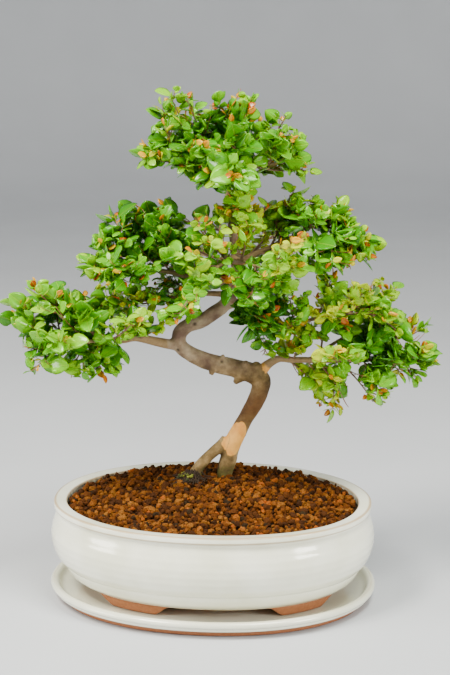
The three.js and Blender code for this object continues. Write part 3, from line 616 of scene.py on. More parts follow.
# %% Limbs as points [x, y, z, radius] along their middle
LIMBS = {
    "trunk": [
        [2, 28, 62, 4], [5, 27, 82, 6.5], [7, 27, 98, 6.9], [11, 28, 113, 7.5], [13, 28, 124, 8.1],
        [20, 27, 138, 7.4], [26, 27, 150, 6.6], [33, 27, 162, 7.3], [38, 27, 174, 7.8],
        [39, 26, 185, 8.6], [30, 24, 192, 8.6], [18, 21, 196, 8.2], [6, 18, 199, 8], [-8, 14, 204, 7.1],
        [-20, 11, 210, 6.4], [-29, 9, 218, 6.4], [-29, 9, 228, 6.1], [-22, 10, 235, 6], [-12, 12, 238, 6.3],
        [-1, 14, 245, 6], [9, 15, 253, 5.7], [15, 15, 266, 5.1], [19, 14, 283, 4.7], [18, 12, 305, 4.2],
        [15, 10, 328, 3.6], [13, 8, 348, 3.3], [11, 6, 364, 2.5], [10, 5, 382, 1.7],
    ],
    "leg": [[9, 27, 131, 4.6], [2, 24, 123, 4.9], [-6, 21, 116, 4.7], [-14, 18, 107, 5], [-18, 17, 97, 6.6],
            [-21, 17, 82, 5], [-25, 17, 68, 3]],
    "right": [[36, 25, 190, 6], [47, 22, 201, 3.9], [56, 19, 206, 3.1], [66, 16, 206, 2.8],
              [80, 13, 207, 2.6], [94, 11, 207, 2.3], [116, 12, 211, 2], [142, 17, 208, 1.6],
              [165, 23, 208, 1.2]],
    "right_back": [[82, 13, 207, 2], [94, 24, 214, 1.8], [108, 42, 220, 1.5], [122, 58, 226, 1.2]],
    "right_front": [[98, 11, 207, 1.9], [112, -4, 212, 1.6], [126, -22, 214, 1.3]],
    "left": [[-26, 10, 219, 5], [-33, 8, 218, 4.7], [-48, 2, 222, 4], [-64, -6, 227, 3.5],
             [-74, -11, 226, 3.3], [-93, -19, 225, 2.5], [-113, -23, 223, 2], [-134, -26, 227, 1.4]],
    "left_back": [[-66, -7, 227, 2.2], [-78, 10, 234, 1.8], [-92, 28, 240, 1.3]],
    "left_front": [[-80, -14, 226, 2], [-92, -36, 230, 1.7], [-102, -54, 232, 1.2]],
    "upper_left": [[17, 14, 272, 3.6], [-11, 5, 276, 2.6], [-38, -4, 284, 2], [-72, -12, 288, 1.4]],
    "middle_left": [[14, 15, 262, 3], [-12, 4, 264, 2], [-38, -8, 262, 1.4]],
    "upper_right": [[18, 14, 288, 3.4], [41, 13, 300, 2.6], [69, 12, 311, 2], [102, 12, 312, 1.4]],
    "hook": [[6, 15, 250, 4], [17, 14, 254, 3.6], [29, 12, 256, 3.7], [40, 10, 253, 3.9], [46, 9, 245, 4],
             [47, 9, 236, 4], [49, 8, 226, 3.2]],
    "hook_twig": [[48, 8, 229, 1.9], [70, 2, 240, 1.6], [95, -2, 248, 1.4], [124, -2, 252, 1.2]],
    "back": [[17, 14, 278, 3.4], [22, 38, 284, 2.6], [30, 62, 292, 1.9], [38, 84, 298, 1.3]],
    "back_left": [[20, 32, 282, 2], [4, 48, 286, 1.7], [-18, 62, 288, 1.2]],
    "front": [[18, 12, 296, 3], [16, -12, 296, 2.2], [8, -36, 294, 1.5]],
    "front_right": [[17, 0, 297, 1.9], [34, -18, 294, 1.6], [54, -34, 290, 1.2]],
    "apex_left": [[12, 6, 360, 2.3], [-9, 0, 370, 1.7], [-28, -6, 377, 1.2]],
    "apex_right": [[12, 6, 363, 2.2], [34, 8, 371, 1.7], [56, 9, 375, 1.2]],
    "apex_back": [[12, 7, 356, 2.1], [16, 26, 366, 1.6], [18, 42, 374, 1.2]],
    "apex_front": [[11, 6, 367, 1.9], [14, -14, 372, 1.5], [18, -28, 374, 1.2]],
}
STUBS = [
    [[27, 20, 196, 3.4], [27, 15, 204, 2]],
    [[6, 18, 203, 3.2], [8, 13, 209, 2]],
    [[0, 12, 199, 3.4], [-2, 8, 193, 2.2]],
    [[22, 22, 187, 3.4], [17, 18, 184, 2.4]],
    [[38, 22, 192, 6], [35, 17, 201, 4.2]],
]
print(len(LIMBS), "limbs and", len(STUBS), "stubs")

# %% [markdown]
# ## Smooth lines and swept tubes
#
# A Bezier curve with a bevel would also make a tube. Worked out as arrays, one call sweeps hundreds of tubes
# at once, which the hair roots and the twigs need later, and every point of them is known.

# %% Lines through knots, and tubes along them
def limb_line(knots, share):
    """A smooth line through knots: on each stretch a cubic whose end slopes are half the step over two."""
    knots = np.array(knots, float)
    padded = np.concatenate([2 * knots[:1] - knots[1:2], knots, 2 * knots[-1:] - knots[-2:-1]])
    place = share * (len(knots) - 1)
    stretch = np.minimum(place.astype(int), len(knots) - 2)
    t = (place - stretch)[:, None]
    before, start, end, after = (padded[stretch + k] for k in range(4))
    leave, arrive = (end - before) / 2, (after - start) / 2
    line = (2 * t**3 - 3 * t**2 + 1) * start + (t**3 - 2 * t**2 + t) * leave
    line += (3 * t**2 - 2 * t**3) * end + (t**3 - t**2) * arrive
    line[:, 3] = np.interp(place, np.arange(len(knots)), knots[:, 3])
    return line


def sweep_tubes(lines, radii, sides):
    """Round tubes along many lines at once: a circle square to the line at each point, with closed ends."""
    many, long = radii.shape
    slope = unit(np.gradient(lines, axis=1))
    least = np.abs(slope).max(1).argmin(1)
    side = unit(np.cross(slope, np.eye(3)[least][:, None]))
    lift = np.cross(slope, side)
    turn = turns(sides)[:, None]
    ring = side[:, :, None] * np.cos(turn) + lift[:, :, None] * np.sin(turn)
    skin = lines[:, :, None] + radii[:, :, None, None] * ring
    points = np.concatenate([skin.reshape(many, -1, 3), lines[:, [0, -1]]], 1)
    faces = [repeat_faces(found, long * sides + 2, many) for found in tube_faces(long, sides)]
    return points.reshape(-1, 3), faces


print("the trunk's middle:", np.round(limb_line(LIMBS["trunk"], np.array([0.5]))[0], 1))

# %% [markdown]
# ## Forks that have grown together
#
# Where limbs meet, wood grows over in a soft web. A boolean union would leave sharp creases there. So all
# tubes go into one mesh, and a voxel remesh melts them: it fills space with small cubes and wraps one new
# skin round all that is inside.

# %% Sweep the limbs and melt them together
LIMB_SIDES, LIMB_STEP, VOXEL = 20, 3, 1.15
wood_points, wood_faces, known = [], [], 0
for knots in [*LIMBS.values(), *STUBS]:
    span = sum(np.linalg.norm(np.diff(np.array(knots, float)[:, :3], axis=0), axis=1))
    line = limb_line(knots, np.linspace(0, 1, max(4, int(span / LIMB_STEP))))
    limb, limb_faces = sweep_tubes(line[None, :, :3], line[None, :, 3], LIMB_SIDES)
    wood_points.append(limb)
    wood_faces += [found + known for found in limb_faces]
    known += len(limb)
rough_mesh = bpy.data.meshes.new("rough_wood")
fill_mesh(rough_mesh, np.concatenate(wood_points), wood_faces)
rough = add_object("rough_wood", rough_mesh)
melt = rough.modifiers.new("melt", "REMESH")
melt.mode = "VOXEL"
melt.voxel_size = VOXEL * MM
melted = bpy.data.meshes.new_from_object(rough.evaluated_get(bpy.context.evaluated_depsgraph_get()))
bpy.data.objects.remove(rough)


def read_rows(parts, name, width, kind):
    """One property of a mesh's parts, read in bulk: a row of `width` numbers for each part."""
    values = np.empty(len(parts) * width, kind)
    parts.foreach_get(name, values)
    return values.reshape(-1, width)


skin = read_rows(melted.vertices, "co", 3, float) / MM
edges = read_rows(melted.edges, "vertices", 2, np.int64)
wood_quads = read_rows(melted.loops, "vertex_index", 1, np.int64).reshape(-1, 4)
print("melted wood:", len(skin), "points", len(wood_quads), "faces")

# %% [markdown]
# ## Even skin and muscle
#
# The melt leaves small steps. A Smooth modifier would iron them out, but it thins the fine branches as well.
# Here each point moves towards the mean of its neighbours and then most of the way back, which takes out the
# steps alone. Noise then gives the wood its muscle and fibre, fully on stout wood and little on thin.

# %% Iron and swell the wood
IRONING, PUSH, PULL = 5, 0.55, -0.5
ways = np.concatenate([edges, edges[:, ::-1]])
degree = np.bincount(ways[:, 0], minlength=len(skin))[:, None]


def gather(numbers, values):
    """Adds each row of values to the point of the wood that its number names."""
    return np.stack([np.bincount(numbers, column, len(skin)) for column in values.T], -1)


def outward(points):
    """Each point's normal: the sum of its faces' diagonals crossed, at length 1."""
    one, two, three, four = points[wood_quads.T]
    cross = np.cross(three - one, four - two)
    return unit(sum(gather(numbers, cross) for numbers in wood_quads.T))


for move in (PUSH, PULL) * IRONING:
    skin += move * (gather(ways[:, 0], skin[ways[:, 1]]) / degree - skin)
stout_line = np.concatenate([limb_line(LIMBS["trunk"], np.linspace(0, 1, 220)),
                             limb_line(LIMBS["leg"], np.linspace(0, 1, 60))])
# In forty parts, because one table of all points by all places on the line would be very large
near = np.concatenate([((part[:, None] - stout_line[:, :3]) ** 2).sum(-1).argmin(1)
                       for part in np.array_split(skin, 40)])
stoutness = np.clip((stout_line[near, 3] - 2) / 5, 0, 1)
away = np.linalg.norm(skin - stout_line[near, :3], axis=1)
stoutness *= np.clip(1.6 - away / stout_line[near, 3] * 0.8, 0, 1)
muscle = 0.55 * smooth_noise(skin, 11.0, 1) + 0.3 * smooth_noise(skin, 5.0, 2)
fibre = 0.12 * smooth_noise(skin * [1, 1, 0.4], 2.2, 4)
skin += outward(skin) * ((0.15 + 0.85 * stoutness) * (muscle + fibre))[:, None]
print("stout share of the wood:", round(float((stoutness > 0.5).mean()), 2))

# %% [markdown]
# ## Pits, peeled bark and moss
#
# Three small pits are left where twigs were cut off flush, and bark has peeled near the second leg and at
# the first bend. Such places could be painted on an image. Here they are numbers on the mesh's points,
# worked out from their distance to a few spots, so they need no image and can be moved by one number:
# `pit` and `peel` at the spots, a russet number on the trunk's first rise, which is partly bark colour and
# partly painted shade, `mauve` above it, and `moss` by the soil.

# %% Where the bark changes
# Spots as [x, y, z, reach]
PITS, PIT_DEPTH = [[-15.3, 5.1, 237.6, 1.7], [6.9, 12.2, 203.4, 1.8], [-29.9, 3.7, 214.7, 1.5]], 0.9
PEELED = [[17, 19, 131, 14.5], [21, 20, 139, 9], [48, 19, 202, 10]]
RUDDY_SHADE_HEIGHT, RUDDY_SHADE_REACH, MAUVE_FROM, MAUVE_FADE, MOSS_REACH = 163, 22, 188, 24, 15


def near_spots(spots, edge, squeeze):
    """1 inside the spots and falling to 0 outside: edge less distance by reach, the highest of all spots."""
    strength = np.zeros(len(skin))
    for x, y, z, reach in spots:
        off = np.linalg.norm((skin - [x, y, z]) * squeeze, axis=1)
        strength = np.maximum(strength, np.clip(edge - off / reach, 0, 1))
    return strength


pit = near_spots(PITS, 1.3, 1)
skin -= outward(skin) * (PIT_DEPTH * pit)[:, None]
peel = near_spots(PEELED, 1.25, [1, 1, 0.75])
peel = np.clip(peel + 0.16 * smooth_noise(skin, 4.0, 5) * (peel > 0), 0, 1)
x, y, z = skin.T
# Russet on the trunk's first rise: partly bark colour, partly painted shade where the trunk lies in shadow
ruddy = np.clip(1.2 - np.abs(z - RUDDY_SHADE_HEIGHT) / RUDDY_SHADE_REACH, 0, 1) * (x < 60)
mauve = np.clip((z - MAUVE_FROM) / MAUVE_FADE, 0, 1) * np.clip((44 - x) / 20, 0, 1)
moss = np.clip(1.3 - (z - soil_height(x, y)) / MOSS_REACH, 0, 1) * (0.65 + 0.35 * smooth_noise(skin, 6.0, 6))
print("peeled share of the wood:", round(float((peel > 0.5).mean()), 3))

# %% [markdown]
# ## Bark colour
#
# Sweet plum bark is smooth and brownish grey in soft clouds. It could be one material for each look, but then
# hard edges would show between them. So each colour is laid over the one before it by the number that the
# mesh carries: russet, partly bark colour and partly painted shade, dusty mauve, near black in the pits as
# painted shade, fresh orange wood, the brown of thin branches, and moss last.

# %% Bark finish
bark, place = new_finish("smooth_peeling_bark")
patch = noise_at(place, 60.0, 4.0, 0.6)
grain = noise_at(place, 380.0, 4.0, 0.65)
fleck = noise_at(place, 190.0, 3.0, 0.7)
old = patch.ramp([
    (0.34, paint(72, 54, 28)), (0.44, paint(106, 84, 48)), (0.54, paint(136, 110, 68)),
    (0.66, paint(168, 142, 98)),
])
old = (fleck.step(0.54, 0.66) * 0.4).blend(old, paint(74, 62, 30))
# The russet is partly the bark's colour and partly painted shade on the first rise
russet_and_shade = grain.blend(paint(58, 30, 6), paint(112, 68, 24))
old = (shared(place, "ruddy") * (0.5 + patch * 0.6)).blend(old, russet_and_shade)
dusty = patch.ramp([(0.36, paint(124, 96, 84)), (0.5, paint(154, 132, 112)), (0.64, paint(184, 166, 142))])
old = (shared(place, "mauve") * (0.35 + fleck * 0.5)).blend(old, dusty)
# Near black in the pits: painted shade in the hollows
old = shared(place, "pit").blend(old, paint(34, 20, 12))
fresh = patch.ramp([(0.35, paint(222, 142, 56)), (0.6, paint(244, 180, 88))])
peeled = (shared(place, "peel") + (fleck - 0.5) * 0.3).step(0.44, 0.52)
thin_brown = grain.blend(paint(116, 90, 58), paint(166, 138, 98))
dry = shared(place, "stout").step(0.05, 0.3).blend(thin_brown, peeled.blend(old, fresh))
mossy = (shared(place, "moss") + (grain - 0.5) * 0.7).step(0.3, 0.75)
set_finish(
    bark,
    Base_Color=(mossy * 0.8).blend(dry, paint(80, 78, 30)),
    Roughness=0.72 - peeled * 0.14 + mossy * 0.2,
    Specular_IOR_Level=0.3,
    Normal=relief(patch * 0.5 + grain * 0.35 + fleck * 0.3, 0.0011),
)
make_piece("tree_wood", skin, [wood_quads], bark, "bark", ["tree"], peel=peel, moss=moss,
           stout=stoutness, ruddy=ruddy, mauve=mauve, pit=pit)

# %% [markdown]
# ## Hair roots
#
# Where the second leg goes into the grit, a tuft of dark hair roots hangs down its front and left side and
# spreads over the grains. Blender's hair could make it, but hair isn't a mesh and is lost in an export. So
# each hair is a line that wanders outwards and sinks until it lies on the grit, swept as a thin tube.

# %% Hair roots
HAIRS, HAIR_POINTS, HAIR_SIDES = 150, 9, 5
LEG_FOOT, LEG_RADIUS, HAIR_DROP = np.array([-19.5, 16.0, 98.5]), 4.6, 14
around_leg = draws.normal(1.4 * np.pi, 0.24 * np.pi, HAIRS)
way_out = np.stack([np.cos(around_leg), np.sin(around_leg), 0 * around_leg], -1)
hair_long = draws.uniform(4, 15, HAIRS)
along_hair = np.linspace(0, 1, HAIR_POINTS)[None]
hairs = LEG_FOOT + way_out[:, None] * (LEG_RADIUS + hair_long[:, None] * along_hair)[..., None]
hairs += np.cumsum(draws.normal(0, 0.7, (HAIRS, HAIR_POINTS, 3)), 1) * [1, 1, 0]
ground = soil_height(hairs[..., 0], hairs[..., 1]) + draws.uniform(1.0, 3.2, (HAIRS, 1))
start_height = LEG_FOOT[2] + draws.uniform(0, 8, (HAIRS, 1))
hairs[..., 2] = np.maximum(start_height - HAIR_DROP * along_hair, ground)
hair_radii = np.broadcast_to(0.55 - 0.3 * along_hair, hairs.shape[:2])
hair_bark, place = new_finish("hair_roots")
speckle = noise_at(place, 420.0, 2.0)
set_finish(
    hair_bark, Base_Color=speckle.blend(paint(20, 14, 8), paint(66, 44, 20)), Roughness=0.9,
    Normal=relief(speckle, 0.0004),
)
make_piece("hair_roots", *sweep_tubes(hairs, hair_radii, HAIR_SIDES), hair_bark, "bark", [])

# %% [markdown]
# ## Moss cushions
#
# Small cushions of moss have settled on the tuft and on the grit beside it. At this size their single shoots
# don't show, so a cushion is the ball of a grain again, flattened and shaken, and a fine bump does the rest.

# %% Moss cushions
CUSHIONS, FLATTENED = 150, [1, 1, 0.7]
moss_place = LEG_FOOT + draws.normal(0, 1, (CUSHIONS, 3)) * [3.4, 3.2, 0] + [-3.0, -3.5, 0]
moss_place[:, 2] = soil_height(moss_place[:, 0], moss_place[:, 1]) + draws.uniform(1.4, 6.0, CUSHIONS)
cushion = ball * draws.uniform(0.8, 1.15, (CUSHIONS, len(ball), 1))
cushion = cushion * draws.uniform(0.7, 1.9, (CUSHIONS, 1, 1))
cushions = (cushion * FLATTENED + moss_place[:, None]).reshape(-1, 3)
cushion_tone = np.repeat(draws.uniform(size=CUSHIONS), len(ball))
moss_green, place = new_finish("moss")
tuft = noise_at(place, 1400.0, 2.0)
set_finish(
    moss_green,
    Base_Color=(shared(place, "tone") * 0.7 + tuft * 0.4).ramp([
        (0.2, paint(40, 44, 10)), (0.55, paint(92, 98, 20)), (0.9, paint(150, 150, 40))]),
    Roughness=0.9,
    Normal=relief(tuft, 0.0006),
)
make_piece("moss_cushions", cushions, [repeat_faces(ball_faces, len(ball), CUSHIONS)], moss_green, "leaf", [],
           tone=cushion_tone)

# %% [markdown]
# ## Where the sprays grow
#
# The crown is six clouds of leafy sprays, and a spray is one stem with twigs and leaves. Its tip is a given
# point, with finer shoots between to fill the crown. The root could be chosen by hand, but a rule does it
# better: a stem leaves the wood at the place that costs least, near its tip, growing forward, and not beside
# an earlier stem.

# %% Stem tips, cloud by cloud
CLOUDS = {
    "apex": [[-38, -6, 414], [-48, -20, 384], [-12, 30, 410], [12, -6, 420], [38, 30, 406], [60, -12, 396],
             [68, 16, 376], [-14, -36, 392], [26, -38, 368], [-6, -34, 362]],
    "upper_left": [[-90, -10, 312], [-62, 6, 326], [-38, -26, 322], [-70, -46, 294], [-36, 36, 310],
                   [-82, 24, 284], [-8, -30, 332], [-26, -38, 300]],
    "upper_right": [[60, 18, 336], [88, -8, 332], [108, 16, 323], [129, 2, 299], [128, -22, 276],
                    [34, -26, 326], [74, -54, 300], [50, 56, 322], [106, -24, 298]],
    "lower_left": [[-163, -22, 244], [-136, -2, 262], [-148, -36, 222], [-113, -42, 204], [-98, -44, 254],
                   [-124, -64, 236], [-94, 44, 244], [-72, -16, 258], [-92, -34, 204]],
    "lower_right": [[178, 20, 216], [154, 10, 236], [146, 22, 258], [158, 2, 202], [140, -4, 184],
                    [112, 2, 176], [88, 14, 188], [104, -34, 222], [134, 76, 238]],
    "middle": [[-4, -40, 276], [38, -44, 270], [-28, -36, 256], [-14, 52, 262], [44, 2, 214],
               [66, -28, 246], [57, 60, 262], [-58, 10, 264], [62, -30, 278]],
}
# Finer shoots that fill the crown between those stems
SHOOTS = {
    "apex": [[-33, 17, 399], [24, -31, 397], [29, 4, 356], [15, 4, 371], [48, 41, 367], [25, -5, 345],
             [19, -10, 338], [-23, -29, 377], [-1, -38, 386], [-30, -16, 427], [-18, -16, 428],
             [20, 2, 428], [31, 6, 423], [74, 21, 369], [69, 18, 392], [-50, -22, 382], [56, 25, 407]],
    "upper_left": [[-66, 0, 316], [-52, 22, 330], [-40, -8, 322], [-71, -35, 279], [-58, -3, 336],
                   [-42, 3, 335], [-77, -17, 327], [-97, -25, 293], [-93, -35, 285],
                   [-24, 76, 290]],
    "upper_right": [[99, -6, 296], [85, 26, 331], [112, -1, 310], [99, 2, 277], [112, 18, 294],
                    [44, 1, 336], [64, 18, 345], [87, 22, 339], [105, 22, 336],
                    [128, 16, 306], [46, 98, 304]],
    "lower_left": [[-114, -34, 260], [-35, -21, 245], [-57, -56, 252], [-105, 11, 251], [-132, -37, 267],
                   [-111, -29, 249], [-92, -29, 223], [-92, 33, 262], [-59, -23, 239], [-141, -41, 275],
                   [-153, -34, 259], [-139, -53, 211]],
    "lower_right": [[110, 0, 241], [107, -20, 257], [142, 27, 235], [132, 1, 221], [133, 25, 226],
                    [150, 10, 219], [139, 11, 198], [128, 28, 261], [95, 41, 262], [152, 45, 228],
                    [72, 5, 220], [92, 31, 169], [66, -2, 232], [148, 35, 266], [169, 44, 229],
                    [167, 40, 191], [105, 18, 165], [136, 14, 172], [180, 41, 203]],
    "middle": [[67, -16, 266], [90, 8, 229], [45, -28, 252], [-22, -55, 255], [-42, 16, 277],
               [36, -16, 242], [41, -26, 264], [23, -37, 280], [1, -37, 316], [75, -4, 290],
               [76, -63, 324], [26, 80, 284]],
}
print(sum(len(found) for found in [*CLOUDS.values(), *SHOOTS.values()]), "tips")

# %% Places on the wood that may carry a stem
# No stem leaves these limbs below this height in millimetres, so the leg carries none
LOWEST_LEAFY = {"trunk": 250, "leg": 500, "right": 200}
PLACES_PER_STRETCH, BARE_PLACES, NUDGE = 8, 4, 1e-4
places, limb_ways = [], []
for name, knots in LIMBS.items():
    samples = (len(knots) - 1) * PLACES_PER_STRETCH
    share = np.arange(BARE_PLACES, samples + 1) / samples
    on_line = limb_line(knots, share)[:, :3]
    ahead = limb_line(knots, np.minimum(share + NUDGE, 1)) - limb_line(knots, share - NUDGE)
    keep = on_line[:, 2] > LOWEST_LEAFY.get(name, 0)
    places.append(on_line[keep])
    limb_ways.append(unit(ahead[:, :3])[keep])
places, limb_ways = np.concatenate(places), np.concatenate(limb_ways)
print(len(places), "places on the wood")

# %% Give each stem its root and its bow
UP, LEVEL = np.array([0.0, 0.0, 1.0]), np.array([1, 1, 0])
roots, tips, outwards, cloud_of = [], [], [], []
for group in (CLOUDS, SHOOTS):
    for number, cloud in enumerate(CLOUDS):
        centre = np.mean(CLOUDS[cloud], axis=0)
        for tip in np.array(group[cloud], float):
            way = tip - places
            reach = np.linalg.norm(way, axis=1)
            forward = (way * limb_ways).sum(1) / np.maximum(reach, 1)
            beside = np.zeros(len(places))
            if roots:
                beside = np.linalg.norm(places[:, None] - np.array(roots), axis=2).min(1) < 6
            roots.append(places[(reach * (1.9 - 0.9 * forward) + 20 * beside).argmin()])
            tips.append(tip)
            outwards.append(unit((tip - centre) * LEVEL))
            cloud_of.append(number)
roots, tips, outwards, cloud_of = (np.array(found) for found in (roots, tips, outwards, cloud_of))
many = len(tips)
spans = np.linalg.norm(tips - roots, axis=1)
# A stem that rises bows upwards, and one that hangs bows down
bow = np.where(tips[:, 2] > roots[:, 2] - 6, -0.13, 0.2) * spans
bends = (roots + tips) / 2 + bow[:, None] * UP
print(many, "stems,", round(float(spans.mean()), 1), "mm long on average")

# %% [markdown]
# ## Twigs
#
# A stem carries short twigs to either hand, longer near its root, which all lift their tips to the light.
# Some nine hundred curve objects would be slow to make and to read. So everything is one array here, stems
# by twigs by points along each, and one formula bends stems and twigs alike.

# %% Grow the twigs
TWIGS = 7
draws = np.random.default_rng(415)


def arc(start, bend, end, t):
    """A quadratic Bezier arc and its slope at t, for many arcs at once."""
    t = np.asarray(t)[..., None]
    point = (1 - t) ** 2 * start + 2 * t * (1 - t) * bend + t**2 * end
    slope = unit(2 * (1 - t) * (bend - start) + 2 * t * (end - bend))
    return point, slope


twig_share = np.linspace(0.2, 0.97, TWIGS)[None] + draws.uniform(-0.04, 0.03, (many, TWIGS))
twig_root, stem_way = arc(roots[:, None], bends[:, None], tips[:, None], twig_share)
stem_side = np.cross(tips - roots, UP)
steep = np.linalg.norm(stem_side, axis=1) < 0.2 * spans
stem_side[steep] = np.cross([0.0, 1.0, 0.0], (tips - roots)[steep])
stem_side = unit(stem_side)[:, None]
hand = np.where((np.arange(TWIGS) + draws.integers(0, 2, (many, 1))) % 2 == 0, 1.0, -1.0)
lean = draws.normal(0, 0.3, (many, TWIGS, 3))
lift = (0.45 - 0.3 * twig_share)[..., None] * UP
twig_way = unit(0.7 * stem_way + (0.85 * hand)[..., None] * stem_side + lift + lean)
twig_long = np.clip(spans[:, None] * 0.7, 12, 27) * (1.25 - 0.9 * twig_share)
twig_long = twig_long * draws.uniform(0.75, 1.15, (many, TWIGS))
twig_tip = twig_root + twig_way * twig_long[..., None]
twig_bend = (twig_root + twig_tip) / 2 - 0.1 * twig_long[..., None] * UP
print(many * TWIGS, "twigs,", round(float(twig_long.mean()), 1), "mm long on average")

# %% [markdown]
# ## Leaf places
#
# Leaves stand alternately along each twig and close to the stem's tip, one at the end of each. Scattering
# them over a blob would be quicker, but from near by one sees whether a leaf has a twig. Each leaf then has
# a way to point and a face that it turns to the light, which is up and out of its cloud.

# %% Choose the leaf places
ON_TWIG, ON_STEM = 5, 5
leaf_share, stem_share = np.linspace(0.24, 1.0, ON_TWIG), np.linspace(0.35, 1.0, ON_STEM)
leaf_hand = np.where(np.arange(ON_TWIG) % 2 == 0, 1.0, -1.0)
leaf_hand[-1] = 0.0
stem_hand = np.where(np.arange(ON_STEM) % 2 == 0, -1.0, 1.0)
twig_ends = [found[:, :, None] for found in (twig_root, twig_bend, twig_tip)]
leaf_root, leaf_way = arc(*twig_ends, leaf_share)
leaf_side = unit(np.cross(twig_way, UP))[:, :, None]
along_twig = leaf_way * 0.6 + leaf_hand[:, None] * leaf_side * 0.95
stem_root, stem_slope = arc(roots[:, None], bends[:, None], tips[:, None], stem_share)
along_stem = stem_slope * 0.7 + stem_hand[:, None] * stem_side * 0.9
leaf_root = np.concatenate([leaf_root.reshape(-1, 3), stem_root.reshape(-1, 3)])
leaf_along = np.concatenate([along_twig.reshape(-1, 3), along_stem.reshape(-1, 3)])
owner = np.append(np.repeat(np.arange(many), TWIGS * ON_TWIG), np.repeat(np.arange(many), ON_STEM))
along_share = np.append(np.tile(leaf_share, many * TWIGS), np.tile(stem_share, many))
at_tip = along_share > 0.99
total = len(leaf_root)
print(total, "leaves")

# %% [markdown]
# ## How a leaf lies and how long it is
#
# Copies of one leaf that are turned at random look like chaff. A real leaf turns its face to the light, so
# each has three directions square to each other: along it, out of its face, and across it. Leaves at the
# tips and on the outside are small, because the grower pinches them, and those inside are larger.

# %% Turn and size the leaves
TREE_MIDDLE, CLOUD_REACH = [12, 14, 0], 62
leaf_along = unit(leaf_along + 0.1 * UP + draws.normal(0, 0.42, (total, 3)))
from_trunk = unit((leaf_root - TREE_MIDDLE) * LEVEL)
leaf_face = 0.5 * UP + 0.3 * outwards[owner] + 0.5 * from_trunk + draws.normal(0, 0.5, (total, 3))
leaf_face = unit(leaf_face - (leaf_face * leaf_along).sum(1, keepdims=True) * leaf_along)
leaf_across = np.cross(leaf_face, leaf_along)
cloud_centre = np.array([np.mean(cloud, axis=0) for cloud in CLOUDS.values()])[cloud_of[owner]]
# How far out of its cloud a leaf stands: 0 in the middle and about 1 at the outside
depth = np.linalg.norm((leaf_root - cloud_centre) * [1, 1, 1.4], axis=1) / CLOUD_REACH
leaf_long = np.where(at_tip, draws.uniform(6, 10.5, total), 8.8 + 12.5 * draws.uniform(size=total) ** 2.2)
leaf_long *= np.clip(1.34 - 0.42 * depth, 0.7, 1.12)
leaf_wide = leaf_long * draws.uniform(0.64, 0.86, total)
print("mean length of a leaf in mm:", round(float(leaf_long.mean()), 1))

# %% [markdown]
# ## Windows in the crown
#
# A bonsai has a front, and its grower clips leaves that cover the trunk or close the gaps between clouds.
# Leaves could be picked out one by one, but the picking would be lost when a draw changes. So a window is a
# circle on the tree's middle plane, and the leaves that are seen through it from the front go.

# %% Keep the windows open
FRONT = np.array([165.1, -1311.2, 522.2])
# Circles as [x, z, radius] in millimetres
WINDOWS = np.array([
    [-21, 335, 9], [123, 189, 9], [123, 202, 8], [119, 173, 9], [155, 202, 6], [39, 210, 10],
    [-130, 188, 8], [128, 283, 9], [173, 232, 7], [162, 227, 6], [183, 232, 6], [2, 265, 8], [-5, 253, 7],
    [12, 256, 6], [-167, 211, 8], [-175, 228, 4], [-105, 318, 8], [124, 335, 7], [-47, 403, 4],
    [-74, 220, 6], [160, 271, 6], [80, 379, 4], [-35, 355, 9], [47, 353, 9], [40, 360, 5], [-7, 348, 9],
    [-19, 233, 9], [3, 241, 7], [20, 221, 6], [-117, 283, 7], [-122, 182, 7], [94, 356, 11], [23, 443, 9],
    [66, 199, 8],
])
leaf_middle = leaf_root + leaf_along * (0.55 * leaf_long)[:, None]
sight = leaf_middle - FRONT
on_plane = FRONT - sight * (FRONT[1] / sight[:, 1])[:, None]
from_window = np.linalg.norm(on_plane[:, None, [0, 2]] - WINDOWS[:, :2], axis=2) - WINDOWS[:, 2]
keep_leaf = (from_window > 0).all(1)
print(int((~keep_leaf).sum()), "leaves clipped")

# %% [markdown]
# ## One leaf, five thousand times
#
# A leaf is a thin stalk and an egg-shaped blade whose halves rise from the rib and whose tip curls down. A
# flat card with a cut-out picture would be lighter, but it has no edge and no fold to catch the light. Here
# a leaf is a tube of six-cornered rings, pressed thin. Both faces share their corners, so they never cross.

# %% Leaf grid
# Place along the leaf, half width as a share, and half thickness in millimetres
STATIONS = np.array([
    [0.0, 0.035, 0.26], [0.15, 0.03, 0.24], [0.2, 0.5, 0.22], [0.34, 0.93, 0.2], [0.52, 1.0, 0.18],
    [0.72, 0.82, 0.15], [0.89, 0.44, 0.12],
])
# Each corner's share of the half width and of the thickness
RING = np.array([[1, 0], [0.52, 0.8], [0, 1], [-0.52, 0.8], [-1, 0], [0, -1]])
PER_LEAF = len(STATIONS) * len(RING) + 2


